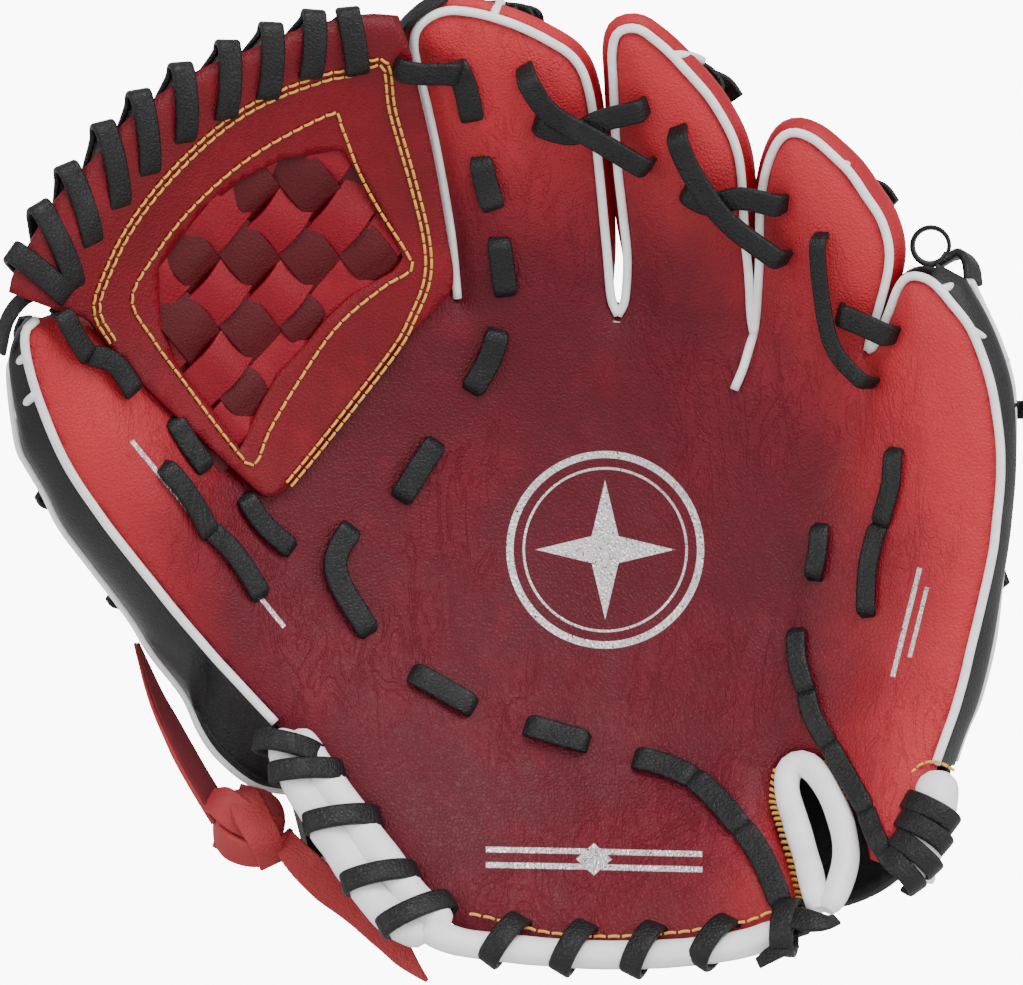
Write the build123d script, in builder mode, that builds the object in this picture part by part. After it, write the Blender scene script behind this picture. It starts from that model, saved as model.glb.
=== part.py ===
"""Youth fielder's baseball glove, worn on the left hand, ten inch pattern.

The open glove is a shallow dish. Every layer of leather, felt and lining is a slice of
that dish, and every edge is a wall flaring gently away from it. Outlines are given in mm as
(x, z) on the front face of the dish, x towards the little finger, z towards the fingertips.
The origin is the middle of the opening the hand goes into; the palm faces -Y.
"""

from math import cos, hypot, radians, sin, sqrt
import os

from build123d import *

# ---------------------------------------------------------------- driving dimensions, mm
DISH_RADIUS = 200.0                  # how deeply the open palm is cupped
DISH_CENTRE = (-10.0, -194.7, 97.5)  # centre of the ball that fits the pocket
BACK_RADIUS = 181.0                  # outside of the back of the glove
BACK_CENTRE = (-10.0, -144.7, 85.5)  # sits lower, so the stalls thin out to their tips
LEATHER = 2.6                        # shell leather
PAD = 5.2                            # felt under the palm
LINER = 1.3                          # soft leather next to the hand
BACK_LEATHER = 2.8
WALL = 2.4                           # side walls of the stalls
PIPING = 2.0                         # white piping round the front edges
LACE_WIDTH = 6.4
LACE_THICK = 1.8
FOLD_GAP = 0.45                      # each side of a fold line
WEAVE_PITCH = 11.2
STRIP_WIDTH = 10.2
STRIP_THICK = 1.4

R_FACE = DISH_RADIUS
R_SHELL = R_FACE + LEATHER
R_PAD = R_SHELL + PAD
R_LINER = R_PAD + LINER
R_BACK_IN = BACK_RADIUS - BACK_LEATHER
R_LACE_TOP = R_FACE - 0.9            # laces lie just proud of the piping
APEX_SETBACK = 150.0                 # edges flare away from a point this far before the centre
NEAR = 255.0                         # planes the ray blocks are lofted between
FAR = 415.0

# ---------------------------------------------------------------- outlines, (x, z) in mm
INDEX = [
    ("curve", [(-31, 139), (-33.5, 172), (-41, 203)]),
    ("curve", [(-41, 203), (-37, 210.5), (-28, 212), (-9, 205.5), (0.5, 198.5), (2.5, 191)]),
    ("curve", [(2.5, 191), (5, 165), (7.5, 139)]),
    ("line", [(7.5, 139), (-31, 139)]),
]
MIDDLE = [
    ("curve", [(11, 132), (11, 160), (7.5, 202)]),
    ("curve", [(7.5, 202), (9, 207), (14, 208), (24, 200), (35, 185), (38.5, 176)]),
    ("curve", [(38.5, 176), (40, 157), (41, 132)]),
    ("line", [(41, 132), (11, 132)]),
]
RING = [
    ("curve", [(43.5, 127), (44.5, 155), (46, 174)]),
    ("curve", [(46, 174), (48.5, 181), (52, 182.5), (61, 178), (70, 167.5), (75, 156)]),
    ("curve", [(75, 156), (74.5, 145), (69, 127)]),
    ("line", [(69, 127), (43.5, 127)]),
]
PINKY = [
    ("curve", [(71.5, 127), (75.5, 138), (79, 146)]),
    ("curve", [(79, 146), (82.5, 147.5), (91, 141), (99, 127), (103, 104)]),
    ("curve", [(103, 104), (101, 80), (95, 53), (87, 28)]),
    ("curve", [(87, 28), (84, 12), (75, -1.5), (69.5, -5.5)]),
    ("line", [(69.5, -5.5), (69.5, 13), (64.5, 23), (59, 31.5), (50, 31.5), (66, 127), (71.5, 127)]),
]
THUMB = [
    ("curve", [(-75.5, 37.5), (-91.5, 55.5), (-112.5, 81), (-127, 103), (-133.5, 120), (-136, 133)]),
    ("curve", [(-136, 133), (-135, 136.5), (-131, 138)]),
    ("line", [(-131, 138), (-121.3, 134.2), (-107.8, 116.2), (-93, 99.2), (-85.5, 94)]),
    ("curve", [(-85.5, 94), (-80, 91.5), (-75.5, 97.7)]),
    ("line", [(-75.5, 97.7), (-72, 101.5), (-20, 101.5), (-20, -11), (-31, -12), (-43, -4)]),
    ("curve", [(-43, -4), (-51, 8), (-63, 21), (-75.5, 37.5)]),
]
PALM = [
    ("line", [(-77, 96), (-61, 112.6), (-46, 132.2), (-37.2, 142.6), (-31, 142.6)]),
    ("line", [(-31, 142.6), (-29, 139), (7.5, 137.5), (11, 132), (41, 131), (43.5, 127), (69, 127.5)]),
    ("line", [(69, 127.5), (76, 127.5), (60, 31.5), (50.5, 31.5)]),
    ("curve", [(50.5, 31.5), (45.8, 24), (46.2, 14), (50.2, 4)]),
    ("line", [(50.2, 4), (50.5, -9.5), (44, -13)]),
    ("curve", [(44, -13), (3.5, -17.4), (-30, -12.5)]),
    ("line", [(-30, -12.5), (-77, -10), (-77, 96)]),
]
WEB = [
    ("curve", [(-46, 204), (-58, 206.5), (-80, 203), (-100, 193), (-118, 176), (-130, 157), (-133.5, 144)]),
    ("line", [(-133.5, 144), (-131, 140), (-120.5, 135), (-107, 117), (-92.5, 100), (-85, 95)]),
    ("curve", [(-85, 95), (-80.5, 92.8), (-76, 98)]),
    ("line", [(-76, 98), (-62, 113.5), (-47, 133), (-36.5, 148)]),
    ("curve", [(-36.5, 148), (-37.5, 162), (-44.5, 184), (-46, 204)]),
]
WINDOW = [
    ("line", [(-104, 150), (-94, 165), (-75, 178), (-58, 179), (-46, 153.5), (-62, 140)]),
    ("line", [(-62, 140), (-78, 118), (-85.5, 104), (-104, 132), (-104, 150)]),
]

# Folds: the glove closes about two straight creases.
THUMB_FOLD = ((-27.5, -15.0), (-107.5, 185.0))
PINKY_FOLD = ((55.0, 31.0), (70.0, 129.0))


# ---------------------------------------------------------------- shared construction
def section_plane(depth):
    """Plane square to Y, this far behind the point the edges flare from."""
    centre = (DISH_CENTRE[0], DISH_CENTRE[1] - APEX_SETBACK + depth, DISH_CENTRE[2])
    return Plane(origin=centre, x_dir=(1, 0, 0), z_dir=(0, -1, 0))


def ray_point(point, depth):
    """Where the ray from the flare point through a face point meets a section plane."""
    dx = point[0] - DISH_CENTRE[0]
    dz = point[1] - DISH_CENTRE[2]
    scale = depth / (APEX_SETBACK + sqrt(DISH_RADIUS**2 - dx**2 - dz**2))
    return (dx * scale, dz * scale)


def inset_runs(runs, inset):
    """The same outline moved inwards by a fixed amount, corner by corner."""
    loop = []
    for _, points in runs:
        loop += points[:-1]
    count = len(loop)
    area = 0.0
    for i in range(count):
        area += loop[i - 1][0] * loop[i][1] - loop[i][0] * loop[i - 1][1]
    turn = 1.0 if area > 0 else -1.0
    moved = []
    for i in range(count):
        before, here, after = loop[i - 1], loop[i], loop[(i + 1) % count]
        first = hypot(here[0] - before[0], here[1] - before[1])
        second = hypot(after[0] - here[0], after[1] - here[1])
        n1 = (-(here[1] - before[1]) / first * turn, (here[0] - before[0]) / first * turn)
        n2 = (-(after[1] - here[1]) / second * turn, (after[0] - here[0]) / second * turn)
        reach = max(1 + n1[0] * n2[0] + n1[1] * n2[1], 0.45)
        dx = inset * (n1[0] + n2[0]) / reach
        dz = inset * (n1[1] + n2[1]) / reach
        moved.append((here[0] + dx, here[1] + dz))
    moved.append(moved[0])
    result = []
    start = 0
    for kind, points in runs:
        stop = start + len(points) - 1
        result.append((kind, moved[start:stop + 1]))
        start = stop
    return result


def ray_block(runs, inset=0.0):
    """Everything the flare point sees through an outline drawn on the face."""
    outline = inset_runs(runs, inset) if inset else runs
    with BuildPart() as block:
        for depth in (NEAR, FAR):
            with BuildSketch(section_plane(depth)):
                with BuildLine():
                    for kind, points in outline:
                        drawn = [ray_point(point, depth) for point in points]
                        if kind == "curve":
                            Spline(*drawn)
                        else:
                            Polyline(*drawn)
                make_face()
        loft(ruled=True)
    return block.part


def polygon_block(points):
    """Ray block of a straight-sided outline."""
    return ray_block([("line", list(points) + [points[0]])])


def strip_points(start, end, width):
    """Corners of a straight strip between two face points."""
    length = hypot(end[0] - start[0], end[1] - start[1])
    sx = -(end[1] - start[1]) / length * width / 2
    sz = (end[0] - start[0]) / length * width / 2
    return [
        (start[0] + sx, start[1] + sz),
        (end[0] + sx, end[1] + sz),
        (end[0] - sx, end[1] - sz),
        (start[0] - sx, start[1] - sz),
    ]


def fold_side(fold, side, gap=FOLD_GAP):
    """Half of the dish on one side of a fold line; side is +1 for larger x."""
    with BuildPart() as half:
        for depth in (NEAR, FAR):
            a = Vector(*ray_point(fold[0], depth))
            b = Vector(*ray_point(fold[1], depth))
            along = (b - a).normalized()
            across = Vector(along.Y, -along.X) * side
            shift = across * (gap * depth / (DISH_RADIUS + APEX_SETBACK))
            reach = depth * 1.5
            low = a - along * reach + shift
            high = b + along * reach + shift
            corners = [low, high, high + across * reach, low + across * reach]
            with BuildSketch(section_plane(depth)):
                with BuildLine():
                    Polyline(*[(c.X, c.Y) for c in corners], close=True)
                make_face()
        loft(ruled=True)
    return half.part


def dish_layer(inner, outer):
    """Slice of the dish between two distances from its centre."""
    with BuildPart() as layer:
        with Locations(DISH_CENTRE):
            Sphere(outer)
            Sphere(inner, mode=Mode.SUBTRACT)
    return layer.part


def back_layer(inner, outer):
    """Slice of the back of the glove between two distances from the back centre."""
    with BuildPart() as layer:
        with Locations(BACK_CENTRE):
            Sphere(outer)
            Sphere(inner, mode=Mode.SUBTRACT)
    return layer.part


def wall_layer(front=R_SHELL + 0.3, back=R_BACK_IN - 0.1):
    """The depth a side wall spans, from behind the shell to inside the back."""
    with BuildPart() as layer:
        with Locations(BACK_CENTRE):
            Sphere(back)
        with Locations(DISH_CENTRE):
            Sphere(front, mode=Mode.SUBTRACT)
    return layer.part


RIGHT_OF_THUMB = fold_side(THUMB_FOLD, +1)
LEFT_OF_THUMB = fold_side(THUMB_FOLD, -1)
LEFT_OF_PINKY = fold_side(PINKY_FOLD, -1)
RIGHT_OF_PINKY = fold_side(PINKY_FOLD, +1)
SHELL_LAYER = dish_layer(R_FACE, R_SHELL)
PAD_LAYER = dish_layer(R_SHELL + 0.05, R_PAD)
LINER_LAYER = dish_layer(R_PAD + 0.05, R_LINER)
WALL_LAYER = wall_layer()
BACK_LAYER = back_layer(R_BACK_IN, BACK_RADIUS)
LACE_LAYER = dish_layer(R_LACE_TOP - LACE_THICK, R_LACE_TOP)
UPPER_LACE_LAYER = dish_layer(R_LACE_TOP - 2 * LACE_THICK - 0.1, R_LACE_TOP - LACE_THICK - 0.1)
PIPING_LAYER = dish_layer(R_FACE - 0.8, R_SHELL + 0.2)


def finish_part(builder, name):
    """Label a sub-part and write it out."""
    builder.part.label = name
    export_step(builder.part, "parts/" + name + ".step")
    box = builder.part.bounding_box()
    print(f"{name:24s} solids {len(builder.part.solids()):2d}  vol {builder.part.volume:9.1f}"
          f"  box {box.min.X:7.1f} {box.min.Y:7.1f} {box.min.Z:7.1f}"
          f"  {box.max.X:7.1f} {box.max.Y:7.1f} {box.max.Z:7.1f}")


os.makedirs("parts", exist_ok=True)

# ---------------------------------------------------------------- palm shell
# One piece of red leather: the pocket and the fronts of the three middle fingers.
FINGER_ROOTS = [
    [(-28.2, 134), (-28.6, 150), (3.6, 150), (4.4, 134)],
    [(14.2, 128), (14.2, 144), (37.2, 144), (38.0, 128)],
    [(46.4, 122), (46.9, 139), (69.8, 139), (65.2, 124)],
]
with BuildPart() as palm_shell:
    add(ray_block(PALM))
    for root in FINGER_ROOTS:
        add(polygon_block(root))
    for stall in (INDEX, MIDDLE, RING):
        add(ray_block(stall, PIPING + 0.1))
    add(RIGHT_OF_THUMB, mode=Mode.INTERSECT)
    add(LEFT_OF_PINKY, mode=Mode.INTERSECT)
    add(SHELL_LAYER, mode=Mode.INTERSECT)
finish_part(palm_shell, "palm_shell")

# Felt pad behind the pocket, kept clear of the finger stalls.
PAD_AREA = [
    ("line", [(-70, 96), (-57, 111), (-36, 136), (64, 122), (56, 35), (43, 29), (42.5, 12), (46, -6)]),
    ("curve", [(46, -6), (3.5, -12), (-33, -7)]),
    ("line", [(-33, -7), (-70, 96)]),
]
with BuildPart() as palm_pad:
    add(ray_block(PAD_AREA))
    add(RIGHT_OF_THUMB, mode=Mode.INTERSECT)
    add(LEFT_OF_PINKY, mode=Mode.INTERSECT)
    add(PAD_LAYER, mode=Mode.INTERSECT)
finish_part(palm_pad, "palm_pad")

# Palm liner: soft leather the hand rests on.
with BuildPart() as palm_liner:
    add(ray_block(PAD_AREA))
    add(RIGHT_OF_THUMB, mode=Mode.INTERSECT)
    add(LEFT_OF_PINKY, mode=Mode.INTERSECT)
    add(LINER_LAYER, mode=Mode.INTERSECT)
finish_part(palm_liner, "palm_liner")

# ---------------------------------------------------------------- finger stalls
# Each stall has a wall down both sides and over the tip, a back, and stays open at the base.
STALLS = {
    "index": (INDEX, [(-40, 130), (-40, 143), (14, 143), (14, 130)]),
    "middle": (MIDDLE, [(2, 122), (2, 136), (50, 136), (50, 122)]),
    "ring": (RING, [(36, 118), (36, 131), (80, 131), (80, 118)]),
}
for finger, (stall, base) in STALLS.items():
    with BuildPart() as gusset:
        add(ray_block(stall, 0.3))
        add(ray_block(stall, 0.3 + WALL), mode=Mode.SUBTRACT)
        add(polygon_block(base), mode=Mode.SUBTRACT)
        add(WALL_LAYER, mode=Mode.INTERSECT)
    finish_part(gusset, finger + "_gusset")
    with BuildPart() as back:
        add(ray_block(stall))
        add(BACK_LAYER, mode=Mode.INTERSECT)
    finish_part(back, finger + "_back")

# White piping sewn into the front edge of the three stalls.
with BuildPart() as finger_piping:
    for stall, base in STALLS.values():
        with BuildPart(mode=Mode.PRIVATE) as ring_of_piping:
            add(ray_block(stall))
            add(ray_block(stall, PIPING), mode=Mode.SUBTRACT)
            add(polygon_block(base), mode=Mode.SUBTRACT)
            add(PIPING_LAYER, mode=Mode.INTERSECT)
        add(ring_of_piping.part)
finish_part(finger_piping, "finger_piping")

# ---------------------------------------------------------------- thumb
# The thumb side folds as one: front, heel pad, liner, wall, back and piping.
THUMB_BASE = [
    (-79, 33), (-77, 42), (-86, 80), (-86, 99), (-70, 108), (-10, 108), (-10, -30), (-45, -30), (-60, -5),
]
with BuildPart() as thumb_front:
    add(ray_block(THUMB, PIPING + 0.1))
    add(polygon_block([
        (-71, 36.5), (-76, 90), (-74, 97), (-22, 97), (-22, -10),
        (-31, -10.5), (-41.5, -2.5), (-49.2, 9), (-61, 22.5),
    ]))
    add(LEFT_OF_THUMB, mode=Mode.INTERSECT)
    add(SHELL_LAYER, mode=Mode.INTERSECT)
finish_part(thumb_front, "thumb_front")

THUMB_PAD_AREA = [
    (-71, 38), (-84, 54), (-100, 74), (-98, 86), (-85, 88), (-70, 92), (-20, 92), (-20, -8), (-40, -3),
]
with BuildPart() as thumb_pad:
    add(polygon_block(THUMB_PAD_AREA))
    add(LEFT_OF_THUMB, mode=Mode.INTERSECT)
    add(PAD_LAYER, mode=Mode.INTERSECT)
finish_part(thumb_pad, "thumb_pad")

with BuildPart() as thumb_liner:
    add(polygon_block(THUMB_PAD_AREA))
    add(LEFT_OF_THUMB, mode=Mode.INTERSECT)
    add(LINER_LAYER, mode=Mode.INTERSECT)
finish_part(thumb_liner, "thumb_liner")

with BuildPart() as thumb_gusset:
    add(ray_block(THUMB, 0.3))
    add(ray_block(THUMB, 0.3 + WALL), mode=Mode.SUBTRACT)
    add(polygon_block(THUMB_BASE), mode=Mode.SUBTRACT)
    add(WALL_LAYER, mode=Mode.INTERSECT)
finish_part(thumb_gusset, "thumb_gusset")

with BuildPart() as thumb_back:
    add(ray_block(THUMB))
    add(polygon_block([(-66, 29), (-45, 9), (-15, 2), (-15, -40), (-90, -40)]), mode=Mode.SUBTRACT)
    add(LEFT_OF_THUMB, mode=Mode.INTERSECT)
    add(BACK_LAYER, mode=Mode.INTERSECT)
finish_part(thumb_back, "thumb_back")

with BuildPart() as thumb_piping:
    add(ray_block(THUMB))
    add(ray_block(THUMB, PIPING), mode=Mode.SUBTRACT)
    add(polygon_block(THUMB_BASE), mode=Mode.SUBTRACT)
    add(PIPING_LAYER, mode=Mode.INTERSECT)
finish_part(thumb_piping, "thumb_piping")

# ---------------------------------------------------------------- little finger
# The little-finger side folds as one with its heel pad.
PINKY_BASE = [
    (45, 25), (60, 118), (68, 134), (74, 134), (82, 128), (84, 60), (83, 26), (79, 10), (80, -12), (50, -12),
]
with BuildPart() as pinky_front:
    add(ray_block(PINKY, PIPING + 0.1))
    add(polygon_block([
        (50, 31.5), (66, 127), (73, 128), (80, 60), (71, 0), (69.6, -4), (69.6, 14), (60, 31.5)]))
    add(RIGHT_OF_PINKY, mode=Mode.INTERSECT)
    add(SHELL_LAYER, mode=Mode.INTERSECT)
finish_part(pinky_front, "pinky_front")

PINKY_PAD_AREA = [
    (50, 33), (56, 70), (91, 70), (88, 58), (81, 28), (78, 10), (71.5, 2), (71.5, 13), (61, 33),
]
with BuildPart() as pinky_pad:
    add(polygon_block(PINKY_PAD_AREA))
    add(RIGHT_OF_PINKY, mode=Mode.INTERSECT)
    add(PAD_LAYER, mode=Mode.INTERSECT)
finish_part(pinky_pad, "pinky_pad")

with BuildPart() as pinky_liner:
    add(polygon_block(PINKY_PAD_AREA))
    add(RIGHT_OF_PINKY, mode=Mode.INTERSECT)
    add(LINER_LAYER, mode=Mode.INTERSECT)
finish_part(pinky_liner, "pinky_liner")

with BuildPart() as pinky_gusset:
    add(ray_block(PINKY, 0.3))
    add(ray_block(PINKY, 0.3 + WALL), mode=Mode.SUBTRACT)
    add(polygon_block(PINKY_BASE), mode=Mode.SUBTRACT)
    add(WALL_LAYER, mode=Mode.INTERSECT)
finish_part(pinky_gusset, "pinky_gusset")

with BuildPart() as pinky_back:
    add(ray_block(PINKY))
    add(RIGHT_OF_PINKY, mode=Mode.INTERSECT)
    add(BACK_LAYER, mode=Mode.INTERSECT)
finish_part(pinky_back, "pinky_back")

with BuildPart() as pinky_piping:
    add(ray_block(PINKY))
    add(ray_block(PINKY, PIPING), mode=Mode.SUBTRACT)
    add(polygon_block(PINKY_BASE), mode=Mode.SUBTRACT)
    add(PIPING_LAYER, mode=Mode.INTERSECT)
finish_part(pinky_piping, "pinky_piping")

# ---------------------------------------------------------------- back of the hand
# Black panel across the knuckles; below it the back is open down to the wrist band.
BACK_PANEL = [(-57, 58), (-80, 99), (-61.5, 113), (-46.5, 132.5), (-34, 146), (78, 134), (66, 54),
              (20, 66), (-20, 66)]
with BuildPart() as hand_back:
    add(polygon_block(BACK_PANEL))
    for stall, _ in STALLS.values():
        add(ray_block(stall, -0.1), mode=Mode.SUBTRACT)
    add(RIGHT_OF_THUMB, mode=Mode.INTERSECT)
    add(LEFT_OF_PINKY, mode=Mode.INTERSECT)
    add(BACK_LAYER, mode=Mode.INTERSECT)
finish_part(hand_back, "hand_back")

# Wrist band: padded strip across the back of the wrist, bound in white along both edges.
BAND_LOW = 1.0
BAND_HIGH = 34.0
BINDING_WIDTH = 3.2
BAND_LAYER = back_layer(R_BACK_IN - 1.5, BACK_RADIUS)
with BuildPart() as wrist_band:
    add(polygon_block([(-60, BAND_LOW), (-60, BAND_HIGH), (70, BAND_HIGH), (70, BAND_LOW)]))
    add(RIGHT_OF_THUMB, mode=Mode.INTERSECT)
    add(LEFT_OF_PINKY, mode=Mode.INTERSECT)
    add(BAND_LAYER, mode=Mode.INTERSECT)
finish_part(wrist_band, "wrist_band")

with BuildPart() as wrist_binding:
    for low in (BAND_LOW - BINDING_WIDTH - 0.1, BAND_HIGH + 0.1):
        with BuildPart(mode=Mode.PRIVATE) as edge_strip:
            high = low + BINDING_WIDTH
            add(polygon_block([(-60, low), (-60, high), (70, high), (70, low)]))
            add(RIGHT_OF_THUMB, mode=Mode.INTERSECT)
            add(LEFT_OF_PINKY, mode=Mode.INTERSECT)
            add(back_layer(R_BACK_IN - 2.0, BACK_RADIUS + 0.5), mode=Mode.INTERSECT)
        add(edge_strip.part)
finish_part(wrist_binding, "wrist_binding")

# ---------------------------------------------------------------- heel binding and notch
# White leather rolled over the heel edge, through the palm and up the thumb side.
R_BINDING_BACK = R_LINER + 1.2
BINDING_LAYER = dish_layer(R_FACE - 0.8, R_BINDING_BACK)
with BuildPart() as heel_binding:
    add(ray_block([
        ("line", [(-36, -12.0), (-30, -13.0)]),
        ("curve", [(-30, -13.0), (3.5, -17.9), (44, -13.5)]),
        ("line", [(44, -13.5), (46.5, -18)]),
        ("curve", [(46.5, -18), (3.5, -22.4), (-30, -17.4), (-36, -15.5)]),
        ("line", [(-36, -15.5), (-36, -12.0)]),
    ]))
    add(RIGHT_OF_THUMB, mode=Mode.INTERSECT)
    add(BINDING_LAYER, mode=Mode.INTERSECT)
finish_part(heel_binding, "heel_binding")

with BuildPart() as thumb_heel_binding:
    add(ray_block([
        ("curve", [(-30, -13.2), (-43.4, -4.6), (-51.4, 7.6), (-63.4, 20.7), (-75.8, 37.1)]),
        ("line", [(-75.8, 37.1), (-79.5, 34.8)]),
        ("curve", [(-79.5, 34.8), (-67.4, 17.4), (-55.6, 4), (-47, -8.6), (-30, -18)]),
        ("line", [(-30, -18), (-30, -13.2)]),
    ]))
    add(LEFT_OF_THUMB, mode=Mode.INTERSECT)
    add(BINDING_LAYER, mode=Mode.INTERSECT)
finish_part(thumb_heel_binding, "thumb_heel_binding")

with BuildPart() as pinky_heel_binding:
    add(ray_block([
        ("curve", [(87.4, 27.6), (84.4, 11.7), (75.3, -2), (69.8, -6)]),
        ("line", [(69.8, -6), (70.5, -10)]),
        ("curve", [(70.5, -10), (78.5, -4.5), (88.2, 10), (91.3, 26.5)]),
        ("line", [(91.3, 26.5), (87.4, 27.6)]),
    ]))
    add(BINDING_LAYER, mode=Mode.INTERSECT)
finish_part(pinky_heel_binding, "pinky_heel_binding")

# The heel is slit beside the little finger; each lip of the slit has its own binding.
with BuildPart() as notch_binding:
    add(polygon_block([
        (50.9, 31.0), (46.6, 24), (46.9, 14.2), (50.9, 4.2), (51.3, -9),
        (57.5, -10), (58.8, 4), (55.8, 13), (54.2, 22), (54.5, 31.4),
    ]))
    add(BINDING_LAYER, mode=Mode.INTERSECT)
finish_part(notch_binding, "notch_binding")

with BuildPart() as pinky_notch_binding:
    add(polygon_block([
        (55.9, 31.1), (56.7, 23), (60.2, 15), (61.8, 5), (60.5, -10),
        (69, -9.5), (69.1, 12.8), (64.1, 22.6), (58.7, 31.1),
    ]))
    add(BINDING_LAYER, mode=Mode.INTERSECT)
finish_part(pinky_notch_binding, "pinky_notch_binding")

# ---------------------------------------------------------------- web
# Basket web: a stitched frame round a window of woven strips. It folds down its middle
# with the thumb, so each half of it is its own group.
FRAME_FRONT = R_FACE
FRAME_BACK = R_FACE + 4.4
FRAME_LAYER = dish_layer(FRAME_FRONT, FRAME_BACK)
STRIP_LOW = dish_layer(R_FACE + 2.3, R_FACE + 2.3 + STRIP_THICK)
STRIP_HIGH = dish_layer(R_FACE + 0.8, R_FACE + 0.8 + STRIP_THICK)
WINDOW_CENTRE = (-77.0, 145.0)
WEB_HALVES = {"web_index": RIGHT_OF_THUMB, "web_thumb": LEFT_OF_THUMB}
for half_name, half_block in WEB_HALVES.items():
    with BuildPart() as web_frame:
        add(ray_block(WEB))
        add(ray_block(WINDOW), mode=Mode.SUBTRACT)
        add(half_block, mode=Mode.INTERSECT)
        add(FRAME_LAYER, mode=Mode.INTERSECT)
    finish_part(web_frame, half_name + "_frame")
    with BuildPart() as weave:
        for lean, layer in ((1, STRIP_HIGH), (-1, STRIP_LOW)):
            with BuildPart(mode=Mode.PRIVATE) as family:
                for step in range(-4, 5):
                    shift = step * WEAVE_PITCH
                    cx = WINDOW_CENTRE[0] + shift * sin(radians(45))
                    cz = WINDOW_CENTRE[1] - lean * shift * cos(radians(45))
                    run = 42.0
                    start = (cx - run * cos(radians(45)), cz - lean * run * sin(radians(45)))
                    end = (cx + run * cos(radians(45)), cz + lean * run * sin(radians(45)))
                    add(polygon_block(strip_points(start, end, STRIP_WIDTH)))
                add(ray_block(WINDOW, 0.05), mode=Mode.INTERSECT)
                add(half_block, mode=Mode.INTERSECT)
                add(layer, mode=Mode.INTERSECT)
            add(family.part)
    finish_part(weave, half_name + "_weave")


def lace_run(points, width=LACE_WIDTH):
    """Flat lace laid along a few straight steps."""
    with BuildPart() as lace:
        for start, end in zip(points[:-1], points[1:]):
            add(polygon_block(strip_points(start, end, width)))
    return lace.part


def lace_group(runs, layer=LACE_LAYER, width=LACE_WIDTH):
    """Several runs of lace at one height above the face."""
    with BuildPart() as group:
        for points in runs:
            add(lace_run(points, width))
        add(layer, mode=Mode.INTERSECT)
    return group.part


# Spiral lace over the top edge of the web, in wraps across the edge.
TOP_WRAPS = {
    "web_index": [(-55, 204, 4), (-66, 203.5, 8), (-76.5, 200, 16), (-87, 195, 24), (-97, 189, 30)],
    "web_thumb": [(-110.5, 180, 38), (-117.5, 172, 42), (-124, 163.5, 48), (-129.5, 155, 56)],
}
for half_name, wraps in TOP_WRAPS.items():
    with BuildPart() as top_lace:
        for cx, cz, lean in wraps:
            out = (cx - 6.5 * sin(radians(lean)), cz + 6.5 * cos(radians(lean)))
            inward = (cx + 5.5 * sin(radians(lean)), cz - 5.5 * cos(radians(lean)))
            add(polygon_block(strip_points(out, inward, 6.0)))
        add(LACE_LAYER, mode=Mode.INTERSECT)
    finish_part(top_lace, half_name + "_top_lace")

# ---------------------------------------------------------------- laces through the palm
PALM_LACES = [
    [(-45, 201), (-32, 201), (-26, 187)],
    [(-23, 178.5), (-23, 165)],
    [(-19, 158), (-19.5, 144)],
    [(-23.5, 134), (-23.5, 121)],
    [(-44, 94), (-36.5, 105.5)],
    [(-57, 81), (-58.3, 74), (-52.5, 62.5)],
    [(-38, 51), (-31, 39)],
    [(-9, 34), (-1, 32)],
    [(14, 27.5), (30, 20), (41, 7.5), (50.5, -6)],
    [(56.5, 87), (56.5, 74)],
    [(51.5, 60), (51.5, 48)],
]
with BuildPart() as palm_lace:
    add(lace_group(PALM_LACES))
    add(RIGHT_OF_THUMB, mode=Mode.INTERSECT)
finish_part(palm_lace, "palm_lace")

THUMB_LACES = [
    [(-131, 134), (-121, 126), (-113, 120)],
    [(-103.5, 112.5), (-93, 99.5)],
    [(-107, 101.5), (-94, 87.5), (-81, 68)],
    [(-84.5, 92), (-73.5, 79.5)],
]
with BuildPart() as thumb_lace:
    add(lace_group(THUMB_LACES))
finish_part(thumb_lace, "thumb_lace")

PINKY_LACES = [
    [(77, 105), (77, 85.5)],
    [(71.5, 81.5), (71.5, 62.5)],
    [(62.5, 42), (64.5, 29), (70, 15.5), (71.5, 8)],
    [(78.5, 132), (85, 127.5)],
]
with BuildPart() as pinky_lace:
    add(lace_group(PINKY_LACES))
finish_part(pinky_lace, "pinky_lace")

# Fingertip laces cross between the index, middle and ring stalls.
with BuildPart() as finger_lace:
    add(lace_group([[(-14, 199), (17.5, 177.5)], [(26, 182.5), (51, 154)], [(61, 157), (69, 136)]]))
    add(lace_group([[(-11, 187.5), (16, 191)], [(27.5, 170), (51, 167.5)]], layer=UPPER_LACE_LAYER))
finish_part(finger_lace, "finger_lace")

# Heel lace wrapped round the rolled binding.
HEEL_WRAPS = {
    "heel_lace": [(-19, -15, 12), (-2, -17.5, 4), (15.5, -17.5, -4), (33, -15.5, -12)],
    "thumb_heel_lace": [(-75, 32, 118), (-65, 19.5, 122), (-56.5, 9.5, 130), (-48.5, -1.5, 128),
                        (-39, -10, 150)],
    "pinky_heel_lace": [(88.2, 18, -80), (80.5, 1, -48)],
}
for group_name, wraps in HEEL_WRAPS.items():
    with BuildPart() as wrap_group:
        for cx, cz, lean in wraps:
            across = (5.5 * sin(radians(lean)), 5.5 * cos(radians(lean)))
            top = (cx + across[0], cz + across[1])
            bottom = (cx - across[0], cz - across[1])
            add(polygon_block(strip_points(top, bottom, 6.0)))
        add(LACE_LAYER, mode=Mode.INTERSECT)
    finish_part(wrap_group, group_name)


# ---------------------------------------------------------------- lace ends behind the glove
def behind(x, z, proud):
    """Point this far outside the back of the glove, directly behind an (x, z)."""
    dx = x - BACK_CENTRE[0]
    dz = z - BACK_CENTRE[2]
    reach = BACK_RADIUS + proud
    return (x, BACK_CENTRE[1] + sqrt(reach**2 - dx**2 - dz**2), z)


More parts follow.
